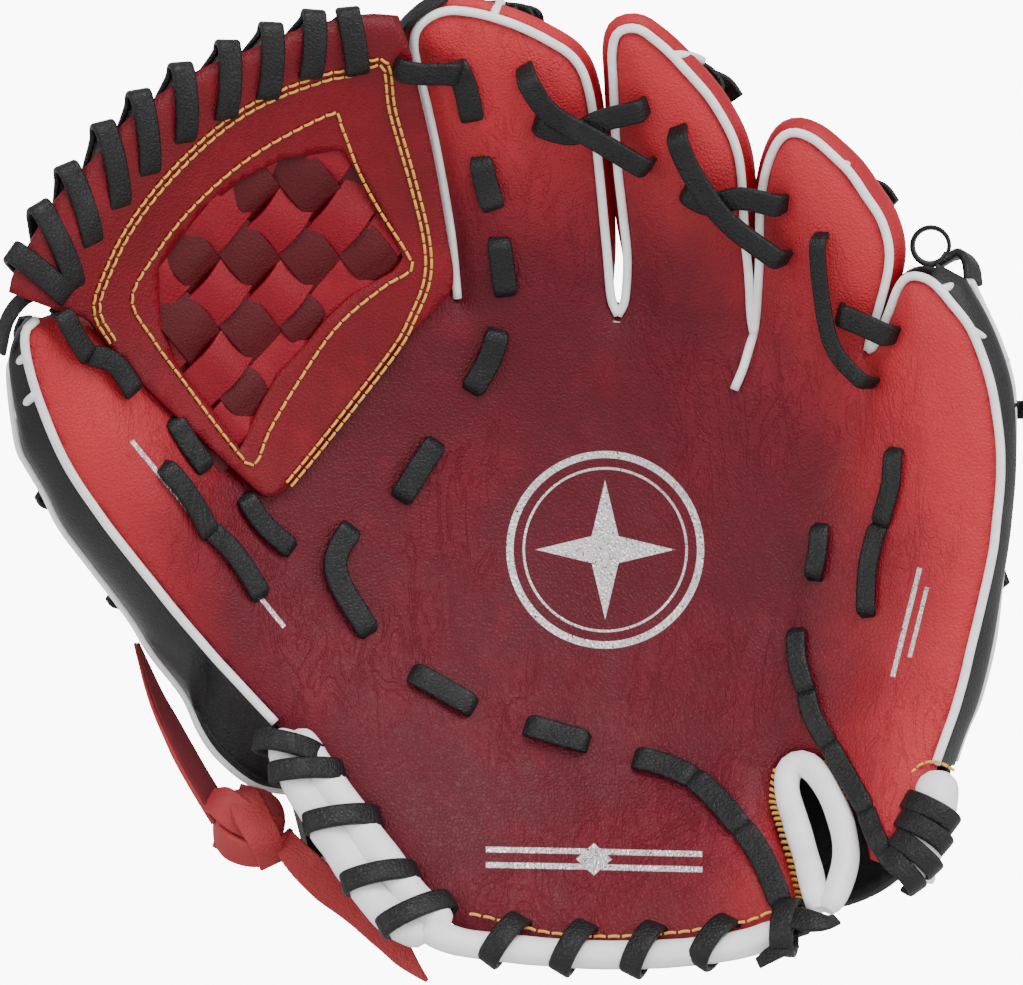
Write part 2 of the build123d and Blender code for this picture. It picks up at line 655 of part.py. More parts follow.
KNOT_R = 4.0
with BuildPart() as finger_knots:
    for x, z in ((-12, 212), (-41, 207), (31, 199), (71, 172), (-18, 150), (24, 146), (52, 142)):
        with Locations(behind(x, z, KNOT_R + 0.2)):
            Sphere(KNOT_R)
finish_part(finger_knots, "finger_knots")

with BuildPart() as thumb_knots:
    for x, z in ((-138, 127), (-130, 92), (-118, 76)):
        with Locations(behind(x, z, KNOT_R + 0.2)):
            Sphere(KNOT_R)
finish_part(thumb_knots, "thumb_knots")

with BuildPart() as pinky_knots:
    for x, z in ((88, 148), (104, 116), (98, 70)):
        with Locations(behind(x, z, KNOT_R + 0.2)):
            Sphere(KNOT_R)
finish_part(pinky_knots, "pinky_knots")

# ---------------------------------------------------------------- wrist strap
# A flat strap runs down the outside of the thumb into a knot; its spare end hangs below.
STRAP_PATH = [(-102, 66), (-94, 54), (-85, 42), (-77, 31)]
with BuildPart() as wrist_strap:
    for start, end in zip(STRAP_PATH[:-1], STRAP_PATH[1:]):
        add(polygon_block(strip_points(start, end, 7.0)))
    add(back_layer(BACK_RADIUS + 0.1, BACK_RADIUS + 3.0), mode=Mode.INTERSECT)
finish_part(wrist_strap, "wrist_strap")

KNOT_CENTRE = (-83.0, 1.0, 12.0)
with BuildPart() as strap_knot:
    with BuildSketch(Plane(origin=(KNOT_CENTRE[0], KNOT_CENTRE[1] + 7, KNOT_CENTRE[2]), z_dir=(0, -1, 0))):
        RectangleRounded(17, 17, 5, rotation=45)
    extrude(amount=14)
finish_part(strap_knot, "strap_knot")

TAIL_THICK = 3.0
with BuildPart() as strap_tail:
    with BuildSketch(Plane(origin=(0, -7.5, 0), x_dir=(1, 0, 0), z_dir=(0, -1, 0))):
        with BuildLine():
            Polyline((-66, 1.0), (-57, -3.5), (-47, -14), (-38.5, -25.5))
            Spline((-38.5, -25.5), (-37.8, -28), (-40.5, -28.3))
            Polyline((-40.5, -28.3), (-46, -25), (-57.5, -14), (-67.5, -5), (-71.5, -3), (-66, 1.0))
        make_face()
    extrude(amount=TAIL_THICK)
finish_part(strap_tail, "strap_tail")
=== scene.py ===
from math import cos, pi, radians, sin

import bmesh
import bpy
import numpy as np
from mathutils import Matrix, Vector, geometry, noise


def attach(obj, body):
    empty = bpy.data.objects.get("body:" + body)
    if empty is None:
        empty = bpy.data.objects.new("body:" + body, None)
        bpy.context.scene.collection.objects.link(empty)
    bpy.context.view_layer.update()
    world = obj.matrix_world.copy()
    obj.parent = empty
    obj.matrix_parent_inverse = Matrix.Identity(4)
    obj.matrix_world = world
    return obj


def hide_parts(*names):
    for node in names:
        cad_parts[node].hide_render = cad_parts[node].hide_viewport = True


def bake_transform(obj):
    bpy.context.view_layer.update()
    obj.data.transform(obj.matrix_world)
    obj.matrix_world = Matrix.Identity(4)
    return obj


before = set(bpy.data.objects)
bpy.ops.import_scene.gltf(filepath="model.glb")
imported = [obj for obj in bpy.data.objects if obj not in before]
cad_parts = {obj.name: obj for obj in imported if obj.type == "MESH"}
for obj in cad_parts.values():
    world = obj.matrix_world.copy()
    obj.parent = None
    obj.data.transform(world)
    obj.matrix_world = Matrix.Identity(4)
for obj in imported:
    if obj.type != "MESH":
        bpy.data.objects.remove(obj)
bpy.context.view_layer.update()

# ------------------------------------------------------------------ palm shell
# One cut of deep red leather makes the pocket, the finger fronts and both side fronts.
# Its edges are turned and sewn into piping, so it rolls back at each edge. It lies open
# like a shallow dish, on which every piece is drawn flat in millimetres: x runs towards
# the little finger and z towards the fingertips.
MM = 0.001
DISH_CENTRE = np.array((-10.0, -194.7, 97.5))
DISH_RADIUS = 200.0


def dish(x, z, rise=0.0):
    """Points in front of the dish, in mm; rise lifts them out of the pocket, towards the palm side."""
    x, z, rise = np.broadcast_arrays(np.asarray(x, float), np.asarray(z, float), np.asarray(rise, float))
    dx, dz = x - DISH_CENTRE[0], z - DISH_CENTRE[2]
    depth = np.sqrt(np.maximum(DISH_RADIUS**2 - dx**2 - dz**2, 1.0))
    normal = np.stack([dx, depth, dz], -1) / DISH_RADIUS
    surface = np.stack([x, DISH_CENTRE[1] + depth, z], -1)
    return surface - normal * rise[..., None]


CURVE_STEPS = 24


def curve(points, closed=False, step=1.5):
    """A smooth line through points, sampled evenly."""
    points = [np.asarray(p, float) for p in points]
    count = len(points)
    spans = count if closed else count - 1
    line = []
    for i in range(spans):
        if closed:
            a, b, c, d = (points[(i + k) % count] for k in (-1, 0, 1, 2))
        else:
            b, c = points[i], points[i + 1]
            a = points[i - 1] if i else 2 * b - c
            d = points[i + 2] if i + 2 < count else 2 * c - b
        for t in np.linspace(0, 1, CURVE_STEPS, endpoint=False):
            line.append(0.5 * (2 * b + (c - a) * t + (2 * a - 5 * b + 4 * c - d) * t**2
                               + (3 * b - 3 * c + d - a) * t**3))
    line.append(points[0] if closed else points[-1])
    return even(np.array(line), step)


def even(line, step):
    """The same line with points at equal distances."""
    lengths = np.r_[0, np.cumsum(np.linalg.norm(np.diff(line, axis=0), axis=1))]
    count = max(int(round(lengths[-1] / step)), 2)
    wanted = np.linspace(0, lengths[-1], count + 1)
    return np.stack([np.interp(wanted, lengths, line[:, k]) for k in range(line.shape[1])], -1)


CLOSEST_POINTS = 0.25


def outline(*runs):
    """A closed outline from open runs laid end to end."""
    loop = np.concatenate(runs)
    keep = np.linalg.norm(loop - np.roll(loop, 1, axis=0), axis=1) > CLOSEST_POINTS
    return loop[keep]


THUMB_EDGE = curve([(-75.5, 37.5), (-91.5, 55.5), (-107, 74), (-118, 88.5), (-127, 103), (-132.5, 117),
                    (-135, 127), (-135.2, 133.5), (-132.5, 136.3)])
INDEX_EDGE = curve([(-30.2, 142.3), (-31.8, 158), (-34.3, 173), (-36.8, 185.5), (-39.5, 197), (-40.8, 203.5),
                    (-39.8, 208), (-35.5, 211.3), (-29.2, 212), (-19, 209.8), (-8.8, 205.5), (-1.2, 200.2),
                    (2.2, 192), (4.2, 177), (6.5, 154), (7.6, 142.5), (9.3, 138.2)])
MIDDLE_EDGE = curve([(9.3, 138.2), (11, 142), (11.6, 152), (10.6, 162), (9, 176), (8, 195), (7.7, 202.5),
                     (9.2, 207), (13.8, 207.8), (18.5, 204.8), (24, 199.8), (30.5, 192.5), (35.2, 185.2),
                     (38, 179), (39.4, 172), (40.4, 157), (41.4, 147), (41.9, 138), (42.6, 133.5)])
RING_EDGE = curve([(42.6, 133.5), (43.4, 140), (44, 153), (44, 164), (45.6, 174), (48.5, 180.6),
                   (52.2, 182.5),
                   (57, 180.9), (61.5, 177.3), (66, 172.8), (70, 167), (73.4, 161.5), (75.4, 155),
                   (75.4, 149), (73.6, 141), (71.3, 133), (70.6, 129.4)])
PINKY_EDGE = curve([(70.6, 129.4), (72.4, 131), (75.6, 138.5), (77.6, 144), (79.6, 146.9), (82.5, 147.5),
                    (86.5, 145.8), (91.2, 140.8), (95.6, 135), (99, 127), (101.4, 118.5), (102.8, 108),
                    (103, 100), (102.3, 91), (101, 80), (98.6, 69), (95.5, 56.5), (92.5, 44.5), (86.8, 28)])
HEEL_RIGHT = curve([(86.8, 28), (84.4, 18), (80, 9.5), (75, 4.2), (70.4, 5.2)])
NOTCH_EDGE = curve([(70.4, 5.2), (69.6, 9), (68.2, 13.5), (64.6, 21), (59.6, 27.2), (55.6, 29.6),
                    (51.5, 29.2), (48.4, 26), (47.4, 19), (48.8, 11), (51.8, 2.5), (53.4, -6), (51.5, -12)])
HEEL_LOW = curve([(51.5, -12), (40, -15.5), (24, -17.5), (6, -18.3), (-10, -17), (-25, -13.5), (-36, -8)])
HEEL_LEFT = curve([(-36, -8), (-45, 4), (-55, 17), (-66, 29.5), (-75.5, 37.5)])
UNDER_WEB = curve([(-132.5, 136.3), (-124, 138), (-112, 131.5), (-99.5, 117.5), (-89.5, 106), (-82, 102.5),
                   (-76.5, 105), (-69.5, 112), (-60, 124), (-50, 137), (-40.5, 146), (-34.5, 149.5),
                   (-30.2, 142.3)])
FRONT = outline(HEEL_LOW, HEEL_LEFT, THUMB_EDGE, UNDER_WEB, INDEX_EDGE, MIDDLE_EDGE, RING_EDGE, PINKY_EDGE,
                HEEL_RIGHT, NOTCH_EDGE)


def edge_distance(points, line, closed=True):
    """Distance from each point to the nearest stretch of a line."""
    best = np.full(len(points), 1e9)
    ends = np.roll(line, -1, axis=0) if closed else line[1:]
    for a, b in zip(line, ends):
        ab = b - a
        t = np.clip(((points - a) @ ab) / max(ab @ ab, 1e-9), 0, 1)
        best = np.minimum(best, np.linalg.norm(points - a - t[:, None] * ab, axis=1))
    return best


# Creases pressed in by use: (line, half width, depth), all in mm.
CREASES = [
    (curve([(71, 121), (66, 105), (57, 88), (52, 74), (50, 56)]), 5.0, 1.5),
    (curve([(-80, 88), (-66, 66), (-52, 42), (-40, 18)]), 9.0, 1.2),
    (curve([(46, 50), (30, 43), (12, 40)]), 6.0, 0.9),
    (curve([(44, 36), (30, 30), (10, 26), (-12, 27)]), 5.0, 0.9),
    (curve([(52, 62), (40, 66), (26, 66)]), 5.0, 0.7),
    (curve([(-24, 30), (-34, 48), (-50, 62)]), 6.0, 0.8),
]


def bump_at(points, middle, spread, height, lean=0.0):
    """A soft round rise, longer one way than the other."""
    dx, dz = points[:, 0] - middle[0], points[:, 1] - middle[1]
    c, s = cos(radians(lean)), sin(radians(lean))
    u, v = dx * c + dz * s, dz * c - dx * s
    return height * np.exp(-(u / spread[0])**2 - (v / spread[1])**2)


def front_rise(points):
    """How far the padded front stands out at each flat point."""
    near = edge_distance(points, FRONT)
    rise = -3.4 * np.exp(-near / 3.2) - 2.2 * np.exp(-near / 12.0)
    rise += bump_at(points, (-104, 92), (34, 15), 4.5, -53)
    rise += bump_at(points, (-60, 36), (30, 17), 3.0, -50)
    rise += bump_at(points, (86, 88), (13, 44), 4.0, -8)
    rise += bump_at(points, (76, 28), (9, 20), 2.5)
    rise += bump_at(points, (26, 2), (24, 13), 2.0)
    rise += bump_at(points, (-16, 178), (9, 30), 1.6)
    rise += bump_at(points, (24, 166), (8, 28), 1.6)
    rise += bump_at(points, (60, 158), (8, 20), 1.6, 12)
    rise -= bump_at(points, (-8, 96), (36, 36), 2.5)
    for line, width, depth in CREASES:
        away = edge_distance(points, line, closed=False)
        rise -= depth * np.exp(-(away / width)**2)
    wave = [noise.noise(Vector((x * 0.045, z * 0.03, 2.7))) * 0.9
            + noise.noise(Vector((x * 0.16 + z * 0.05, z * 0.09, 7.1))) * 0.25 for x, z in points]
    return rise + np.array(wave)


def inside(points, loop):
    """Which points lie inside a closed outline."""
    x, z = points[:, 0], points[:, 1]
    hit = np.zeros(len(points), bool)
    before = np.roll(loop, 1, axis=0)
    for (x0, z0), (x1, z1) in zip(before, loop):
        if z0 != z1:
            crosses = (z0 > z) != (z1 > z)
            hit ^= crosses & (x < (x1 - x0) * (z - z0) / (z1 - z0) + x0)
    return hit


SHEET_STEP = 1.7                       # spacing of the points that shape a leather panel


def panel_points(loop, step=SHEET_STEP):
    """Even points and triangles filling a closed outline."""
    low, high = loop.min(0), loop.max(0)
    rows = []
    for j, z in enumerate(np.arange(low[1], high[1], step * 0.866)):
        xs = np.arange(low[0] + (j % 2) * step / 2, high[0], step)
        rows.append(np.stack([xs, np.full(len(xs), z)], -1))
    grid = np.concatenate(rows)
    grid = grid[inside(grid, loop)]
    grid = grid[edge_distance(grid, loop) > step * 0.55]
    points = [Vector(p) for p in np.concatenate([loop, grid])]
    verts, _, faces, _, _, _ = geometry.delaunay_2d_cdt(points, [], [list(range(len(loop)))], 1, 1e-4)
    return np.array([tuple(v) for v in verts]), [list(f) for f in faces]


flat, faces = panel_points(FRONT)
front_shape = dish(flat[:, 0], flat[:, 1], front_rise(flat))


class Shade:
    """A shader socket that can be written in expressions."""

    def __init__(self, tree, socket):
        self.tree, self.socket = tree, socket

    def node(self, kind, settings=None, out=0, **inputs):
        """Adds a node; inputs are named by socket, with underscores for spaces, or i0, i1 by place."""
        made = self.tree.nodes.new(kind)
        for key, value in (settings or {}).items():
            if key == "stops":
                ramp = made.color_ramp
                while len(ramp.elements) > 1:
                    ramp.elements.remove(ramp.elements[-1])
                ramp.elements[0].position, ramp.elements[0].color = value[0]
                for place, colour in value[1:]:
                    ramp.elements.new(place).color = colour
            else:
                setattr(made, key, value)
        for key, value in inputs.items():
            by_place = key[0] == "i" and key[1:].isdigit()
            target = made.inputs[int(key[1:]) if by_place else key.replace("_", " ")]
            if isinstance(value, Shade):
                self.tree.links.new(value.socket, target)
            else:
                target.default_value = value
        return Shade(self.tree, made.outputs[out])

    def maths(self, operation, *values):
        return self.node("ShaderNodeMath", {"operation": operation},
                         **{f"i{i}": v for i, v in enumerate(values)})

    def __add__(self, other): return self.maths("ADD", self, other)
    def __radd__(self, other): return self.maths("ADD", other, self)
    def __sub__(self, other): return self.maths("SUBTRACT", self, other)
    def __rsub__(self, other): return self.maths("SUBTRACT", other, self)
    def __mul__(self, other): return self.maths("MULTIPLY", self, other)
    def __rmul__(self, other): return self.maths("MULTIPLY", other, self)
    def __pow__(self, other): return self.maths("POWER", self, other)

    def noise(self, scale, detail=3.0, roughness=0.55, distortion=0.0):
        return self.node("ShaderNodeTexNoise", Vector=self, Scale=scale, Detail=detail, Roughness=roughness,
                         Distortion=distortion)

    def stretched(self, scale, turn=(0, 0, 0)):
        return self.node("ShaderNodeMapping", Vector=self, Scale=scale, Rotation=turn)

    def between(self, low, high, to_low=0.0, to_high=1.0):
        return self.node("ShaderNodeMapRange", {"interpolation_type": "SMOOTHSTEP"}, Value=self, From_Min=low,
                         From_Max=high, To_Min=to_low, To_Max=to_high)

    def mix(self, first, second):
        """First colour where this is 0, second where it is 1."""
        return self.node("ShaderNodeMix", {"data_type": "RGBA"}, out=2, i0=self, i6=first, i7=second)


def finish_material(name, paint):
    """A material whose look is worked out by paint(place), place being the Object coordinates."""
    made = bpy.data.materials.new(name)
    made.use_nodes = True
    tree = made.node_tree
    shader = tree.nodes["Principled BSDF"]
    coords = tree.nodes.new("ShaderNodeTexCoord")
    looks = paint(Shade(tree, coords.outputs["Object"]))
    for key, value in looks.items():
        if key == "Height":
            depth, height = value
            bump = height.node("ShaderNodeBump", Height=height, Strength=1.0, Distance=depth)
            tree.links.new(bump.socket, shader.inputs["Normal"])
        elif isinstance(value, Shade):
            tree.links.new(value.socket, shader.inputs[key])
        else:
            shader.inputs[key].default_value = value
    return made


LEATHER_SPECULAR = 0.26


def leather_look(base, deep, light, grain_depth=0.00022, rough=0.42, creases=0.6, coat=0.15):
    """Full-grain leather: pebbled grain, pull-up colour changes and creases where it bends."""
    def paint(place):
        pebble = place.node("ShaderNodeTexVoronoi", {"feature": "DISTANCE_TO_EDGE"}, Vector=place,
                            Scale=900.0)
        pebble = pebble.between(0.0, 0.28)
        pores = place.noise(2600.0, 2.0)
        cloud = place.noise(22.0, 4.0, 0.6)
        patches = place.noise(70.0, 3.0)
        lines = place.stretched((1.0, 1.0, 0.34), (0, radians(-32), 0)).noise(150.0, 4.0, 0.6, 1.6)
        folds = (lines - 0.5).maths("ABSOLUTE", lines - 0.5).between(0.0, 0.045)
        worn = cloud.between(0.38, 0.66)
        height = pebble * 0.35 + pores * 0.18 + folds * creases * cloud.between(0.42, 0.6) + patches * 0.35
        colour = worn.mix(deep, base)
        colour = patches.between(0.52, 0.78, 0.0, 0.45).mix(colour, light)
        return {
            "Base Color": colour, "Roughness": (pores * 0.10 + cloud * 0.16 + (rough - 0.13)),
            "Height": (grain_depth, height),
            "Coat Weight": coat, "Coat Roughness": 0.35, "Specular IOR Level": LEATHER_SPECULAR,
        }
    return paint


def printed_leather(place):
    """The palm's red leather with worn silver foil: a compass star in a ring, and plain rules. Its red
    carries painted shade in the pocket and painted light towards its edges.
    """
    looks = leather_look((0.120, 0.0, 0.0095, 1), (0.082, 0.0, 0.0065, 1), (0.165, 0.001, 0.012, 1), 0.00030,
                         rough=0.46, creases=0.55, coat=0.03)(place)
    split = place.node("ShaderNodeSeparateXYZ", Vector=place)
    across = Shade(split.tree, split.socket.node.outputs[0]) * 1000.0
    up = Shade(split.tree, split.socket.node.outputs[2]) * 1000.0

    def within(value, limit):
        return value.maths("ABSOLUTE", value).between(limit - 0.12, limit + 0.12, 1.0, 0.0)

    def foil_line(x, z, lean, half_length, half_width):
        c, s = cos(radians(lean)), sin(radians(lean))
        along = (across - x) * c + (up - z) * s
        off = (up - z) * c - (across - x) * s
        return within(along, half_length) * within(off, half_width)

    def foil_diamond(x, z, half_wide, half_tall):
        dx, dz = across - x, up - z
        size = dx.maths("ABSOLUTE", dx) * (1 / half_wide) + dz.maths("ABSOLUTE", dz) * (1 / half_tall)
        return size.between(0.97, 1.03, 1.0, 0.0)

    # Painted shade and painted light: the red is darkest in the middle of the pocket and turns to the lighter
    # red below away from it, where light falls.
    dx, dz = across + 14.0, up - 72.0
    pocket = (dx * dx * 0.80 + dz * dz * 0.62) ** 0.5 + place.noise(30.0, 3.0) * 26.0
    looks["Base Color"] = pocket.between(74.0, 116.0, 0.0, 0.90).mix(looks["Base Color"],
                                                                     (0.48, 0.024, 0.032, 1))
    dx, dz = across - 6.5, up - 80.0
    radius = (dx * dx + dz * dz) ** 0.5
    foil = within(radius - 24.0, 0.9)
    foil = foil.maths("MAXIMUM", foil, within(radius - 20.5, 0.3))
    for wide, tall in ((4.2, 17.5), (17.5, 4.2)):
        foil = foil.maths("MAXIMUM", foil, foil_diamond(6.5, 80.0, wide, tall))
    for x, z, lean, long, wide in ((3.5, 4.6, -1, 27, 0.7), (3.5, 0.8, -1, 27, 0.7), (-93, 84, -51, 30, 0.55),
                                   (81.5, 62, 76, 14, 0.6), (84.5, 62, 76, 9, 0.5)):
        foil = foil.maths("MAXIMUM", foil, foil_line(x, z, lean, long, wide))
    foil = foil.maths("MAXIMUM", foil, foil_diamond(3.5, 2.7, 4.5, 4.0))
    foil = foil * place.noise(1500.0, 4.0, 0.7).between(0.36, 0.44)
    looks["Base Color"] = foil.mix(looks["Base Color"], (0.62, 0.60, 0.60, 1))
    looks["Metallic"] = foil * 0.85
    looks["Roughness"] = looks["Roughness"] - foil * 0.12
    return looks


PALM_THICK = 2.0
palm_leather = finish_material("palm_leather", printed_leather)


def make_object(name, places, faces):
    """A smooth-shaded mesh object from places in mm."""
    mesh = bpy.data.meshes.new(name)
    mesh.from_pydata([tuple(p) for p in np.asarray(places) * MM], [], faces)
    mesh.update()
    mesh.shade_smooth()
    obj = bpy.data.objects.new(name, mesh)
    bpy.context.scene.collection.objects.link(obj)
    return obj


def face_outwards(obj, away_from):
    """Turns an open panel so that its faces look away from a point given in mm."""
    mesh = obj.data
    middle = Vector(away_from) * MM
    total = sum((f.center - middle).dot(f.normal) * f.area for f in mesh.polygons)
    if total < 0:
        mesh.flip_normals()
    return obj


def thicken(obj, thickness):
    """Gives a panel its leather thickness, in mm, behind the face that shows."""
    solid = obj.modifiers.new("thickness", "SOLIDIFY")
    solid.thickness = thickness * MM
    solid.offset = -1.0
    return settle(obj)


def settle(obj):
    """Turns what the modifiers make into the plain mesh of the piece."""
    graph = bpy.context.evaluated_depsgraph_get()
    mesh = bpy.data.meshes.new_from_object(obj.evaluated_get(graph))
    mesh.name = obj.name
    obj.modifiers.clear()
    old = obj.data
    obj.data = mesh
    if old.users == 0 and isinstance(old, bpy.types.Mesh):
        bpy.data.meshes.remove(old)
    return obj


SPLIT_AT = 15.0                        # no fold reaches this x, so a wide piece is split here


def halves(obj):
    """Splits a piece at an x that no fold reaches, keeping its shading whole across the cut."""
    mesh = obj.data
    normals = [tuple(n.vector) for n in mesh.corner_normals]
    pieces = []
    for side, tail in ((-1, "_thumb_side"), (1, "_pinky_side")):
        keep = [f for f in mesh.polygons if (f.center.x - SPLIT_AT * MM) * side > 0]
        if not keep:
            continue
        used = {}
        faces, corners = [], []
        for f in keep:
            faces.append([used.setdefault(v, len(used)) for v in f.vertices])
            corners += [normals[i] for i in f.loop_indices]
        part = bpy.data.meshes.new(obj.name + tail)
        part.from_pydata([mesh.vertices[v].co for v in used], [], faces)
        part.update()
        part.shade_smooth()
        for slot_material in mesh.materials:
            part.materials.append(slot_material)
        if len(mesh.materials) > 1:
            for f, g in zip(part.polygons, keep):
                f.material_index = g.material_index
        part.normals_split_custom_set(corners)
        twin = bpy.data.objects.new(obj.name + tail, part)
        bpy.context.scene.collection.objects.link(twin)
        pieces.append(twin)
    bpy.data.objects.remove(obj)
    return pieces


# The thumb and the little finger each fold about a crease.
THUMB_CREASE = ((-67.5, 85.0), (0.93, 0.37), 30.0)
PINKY_CREASE = ((62.5, 80.0), (-0.99, 0.15), 8.0)


def bend_with(obj, side):
    """Bakes a piece's placement into its mesh; the thumb's or the little finger's fold is looked up, but the
    piece is not bent over it.
    """
    (x, z), (ax, az), reach = THUMB_CREASE if side == "thumb" else PINKY_CREASE
    towards_palm = dish(x + ax * reach, z + az * reach) * MM
    towards_side = dish(x - ax * reach, z - az * reach) * MM
    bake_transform(obj)


def bend_halves(obj):
    """Splits a panel that runs right across the glove into two halves and bakes each half's placement;
    neither is bent at the folds.
    """
    pieces = halves(obj)
    for piece in pieces:
        bend_with(piece, "thumb" if piece.name.endswith("_thumb_side") else "pinky")
    return pieces


shell = make_object("palm_shell_leather", front_shape, faces)
BEHIND = (0, 500, 80)                  # a point far behind the glove
face_outwards(shell, BEHIND)
shell.data.materials.append(palm_leather)
thicken(shell, PALM_THICK)
for piece in bend_halves(shell):
    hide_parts("palm_shell", "thumb_front" if "thumb" in piece.name else "pinky_front")


# ------------------------------------------------------------------ padding and lining
# Under the pocket lies felt, and under that the soft tan leather the hand rests on.
INNER_STEP = 3.0


def inner_sheet(name, edge, rise, thickness, material):
    """A layer under the pocket that follows its dish."""
    points, triangles = panel_points(edge, INNER_STEP)
    sheet = make_object(name, dish(points[:, 0], points[:, 1], rise), triangles)
    face_outwards(sheet, BEHIND)
    sheet.data.materials.append(material)
    return thicken(sheet, thickness)


LINING_EDGE = outline(
    curve([(48, -8), (20, -13.5), (-10, -12.5), (-32, -6)]), curve([(-40, 1), (-56, 21), (-72, 39)]),
    curve([(-84, 54), (-104, 80), (-118, 102)]),
    curve([(-110, 108), (-92, 90), (-78, 86), (-64, 100), (-40, 134)]),
    curve([(-24, 140), (0, 138), (24, 134), (50, 128), (66, 124)]),
    curve([(76, 128), (92, 120), (96, 98), (90, 60)]),
    curve([(82, 30), (79, 17), (73.5, 9.5)]),
    curve([(70.5, 13), (66, 23), (57, 33), (46, 30), (43, 18), (46, 4)]))
felt = finish_material("grey_felt", lambda place: {
    "Base Color": place.noise(900.0, 5.0, 0.8).mix((0.35, 0.33, 0.30, 1), (0.62, 0.60, 0.55, 1)),
    "Roughness": 0.95, "Height": (0.0004, place.noise(1800.0, 4.0, 0.8))})
lining_leather = finish_material("lining_leather", leather_look(
    (0.42, 0.26, 0.14, 1), (0.30, 0.17, 0.09, 1), (0.55, 0.37, 0.22, 1), rough=0.62, coat=0.0))
for piece in bend_halves(inner_sheet("palm_felt", LINING_EDGE, -4.2, 3.6, felt)):
    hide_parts("palm_pad", "thumb_pad" if "thumb" in piece.name else "pinky_pad")
for piece in bend_halves(inner_sheet("palm_lining", LINING_EDGE, -8.0, 1.2, lining_leather)):
    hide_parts("palm_liner", "thumb_liner" if "thumb" in piece.name else "pinky_liner")

# ------------------------------------------------------------------ finger stalls
# Each stall is a tube of leather: a front, a wall down both sides and over the tip, and a
# back. Wall and back are one bright red piece here, sewn to the front under the piping.
BACK_CENTRE = np.array((-10.0, -144.7, 85.5))
BACK_RADIUS = 180.0
FLARE = 350.0
SEAM_RISE = -0.6                       # the back's edge is tucked in by this much


def back(x, z, rise=0.0):
    """Points on the back of the glove, in mm; rise lifts them outwards, away from the hand."""
    x, z, rise = np.broadcast_arrays(np.asarray(x, float), np.asarray(z, float), np.asarray(rise, float))
    dx, dz = x - BACK_CENTRE[0], z - BACK_CENTRE[2]
    depth = np.sqrt(np.maximum(BACK_RADIUS**2 - dx**2 - dz**2, 1.0))
    normal = np.stack([dx, depth, dz], -1) / BACK_RADIUS
    surface = np.stack([x, BACK_CENTRE[1] + depth, z], -1)
    return surface + normal * rise[..., None]


def flared(line):
    """The same edge where it meets the back of the glove, a little further out all round."""
    front_y = dish(line[:, 0], line[:, 1])[:, 1]
    behind_y = back(line[:, 0], line[:, 1])[:, 1]
    grow = 1 + (behind_y - front_y) / FLARE
    centre = DISH_CENTRE[[0, 2]]
    return centre + (line - centre) * grow[:, None]


def wall_mesh(front_line, back_line, bulge, rows=9, calm=0.0):
    """A leather wall from a front edge to a back edge, bowed outwards, less so within calm mm of its ends."""
    count = len(front_line)
    lengths = np.r_[0, np.cumsum(np.linalg.norm(np.diff(back_line, axis=0), axis=1))]
    wanted = np.linspace(0, lengths[-1], count)
    behind = np.stack([np.interp(wanted, lengths, back_line[:, k]) for k in range(2)], -1)
    start = dish(front_line[:, 0], front_line[:, 1], front_rise(front_line) - 0.3)
    stop = back(behind[:, 0], behind[:, 1], SEAM_RISE)
    along = np.gradient(start, axis=0)
    out = np.cross(along, stop - start)
    out /= np.linalg.norm(out, axis=1)[:, None] + 1e-9
    middle = start.mean(0)
    out *= np.sign(((start - middle) * out).sum(1))[:, None]
    if calm:
        run = np.r_[0, np.cumsum(np.linalg.norm(np.diff(front_line, axis=0), axis=1))]
        from_end = np.minimum(run, run[-1] - run)
        out *= (1 - np.exp(-(from_end / calm)**2))[:, None]
    places = [start + (stop - start) * t + out * bulge * sin(pi * t) for t in np.linspace(0, 1, rows)]
    triangles = []
    for r in range(rows - 1):
        for i in range(count - 1):
            a = r * count + i
            triangles.append([a, a + 1, a + count + 1, a + count])
    return np.concatenate(places), triangles, behind


SHELL_THICK = 1.8
STALL_BOW = 2.7                        # how far a stall's wall bows out
STALL_CROWN = 2.6                      # how far its back swells over the finger
STALL_CALM = 14.0                      # but not this near the crotch between two fingers


def stall(name, edge, back_line, material):
    """Wall and back of one stall as one shell, open at its base."""
    places, walls, behind = wall_mesh(edge, back_line, STALL_BOW, calm=STALL_CALM)
    flat_back, triangles = panel_points(behind, 2.4)
    near = edge_distance(flat_back, behind)
    rise = SEAM_RISE + STALL_CROWN * (1 - np.exp(-near / 6.0))
    base = len(places)
    faces_all = walls + [[v + base for v in f] for f in triangles]
    made = make_object(name, np.concatenate([places, back(flat_back[:, 0], flat_back[:, 1], rise)]),
                       faces_all)
    shell_mesh = bmesh.new()
    shell_mesh.from_mesh(made.data)
    bmesh.ops.remove_doubles(shell_mesh, verts=shell_mesh.verts, dist=0.00002)
    bmesh.ops.recalc_face_normals(shell_mesh, faces=shell_mesh.faces)
    shell_mesh.to_mesh(made.data)
    shell_mesh.free()
    face_outwards(made, tuple(places.mean(0)))
    made.data.materials.append(material)
    return thicken(made, SHELL_THICK)


shell_leather = finish_material("bright_shell_leather", leather_look(
    (0.46, 0.016, 0.024, 1), (0.34, 0.007, 0.015, 1), (0.52, 0.040, 0.040, 1), rough=0.44, creases=0.3,
    coat=0.04))
for name, edge in (("index", INDEX_EDGE), ("middle", MIDDLE_EDGE), ("ring", RING_EDGE)):
    piece = stall(name + "_stall", edge, flared(edge), shell_leather)
    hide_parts(name + "_gusset", name + "_back")
    if name == "ring":
        bend_with(piece, "pinky")
    else:
        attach(piece, "palm")

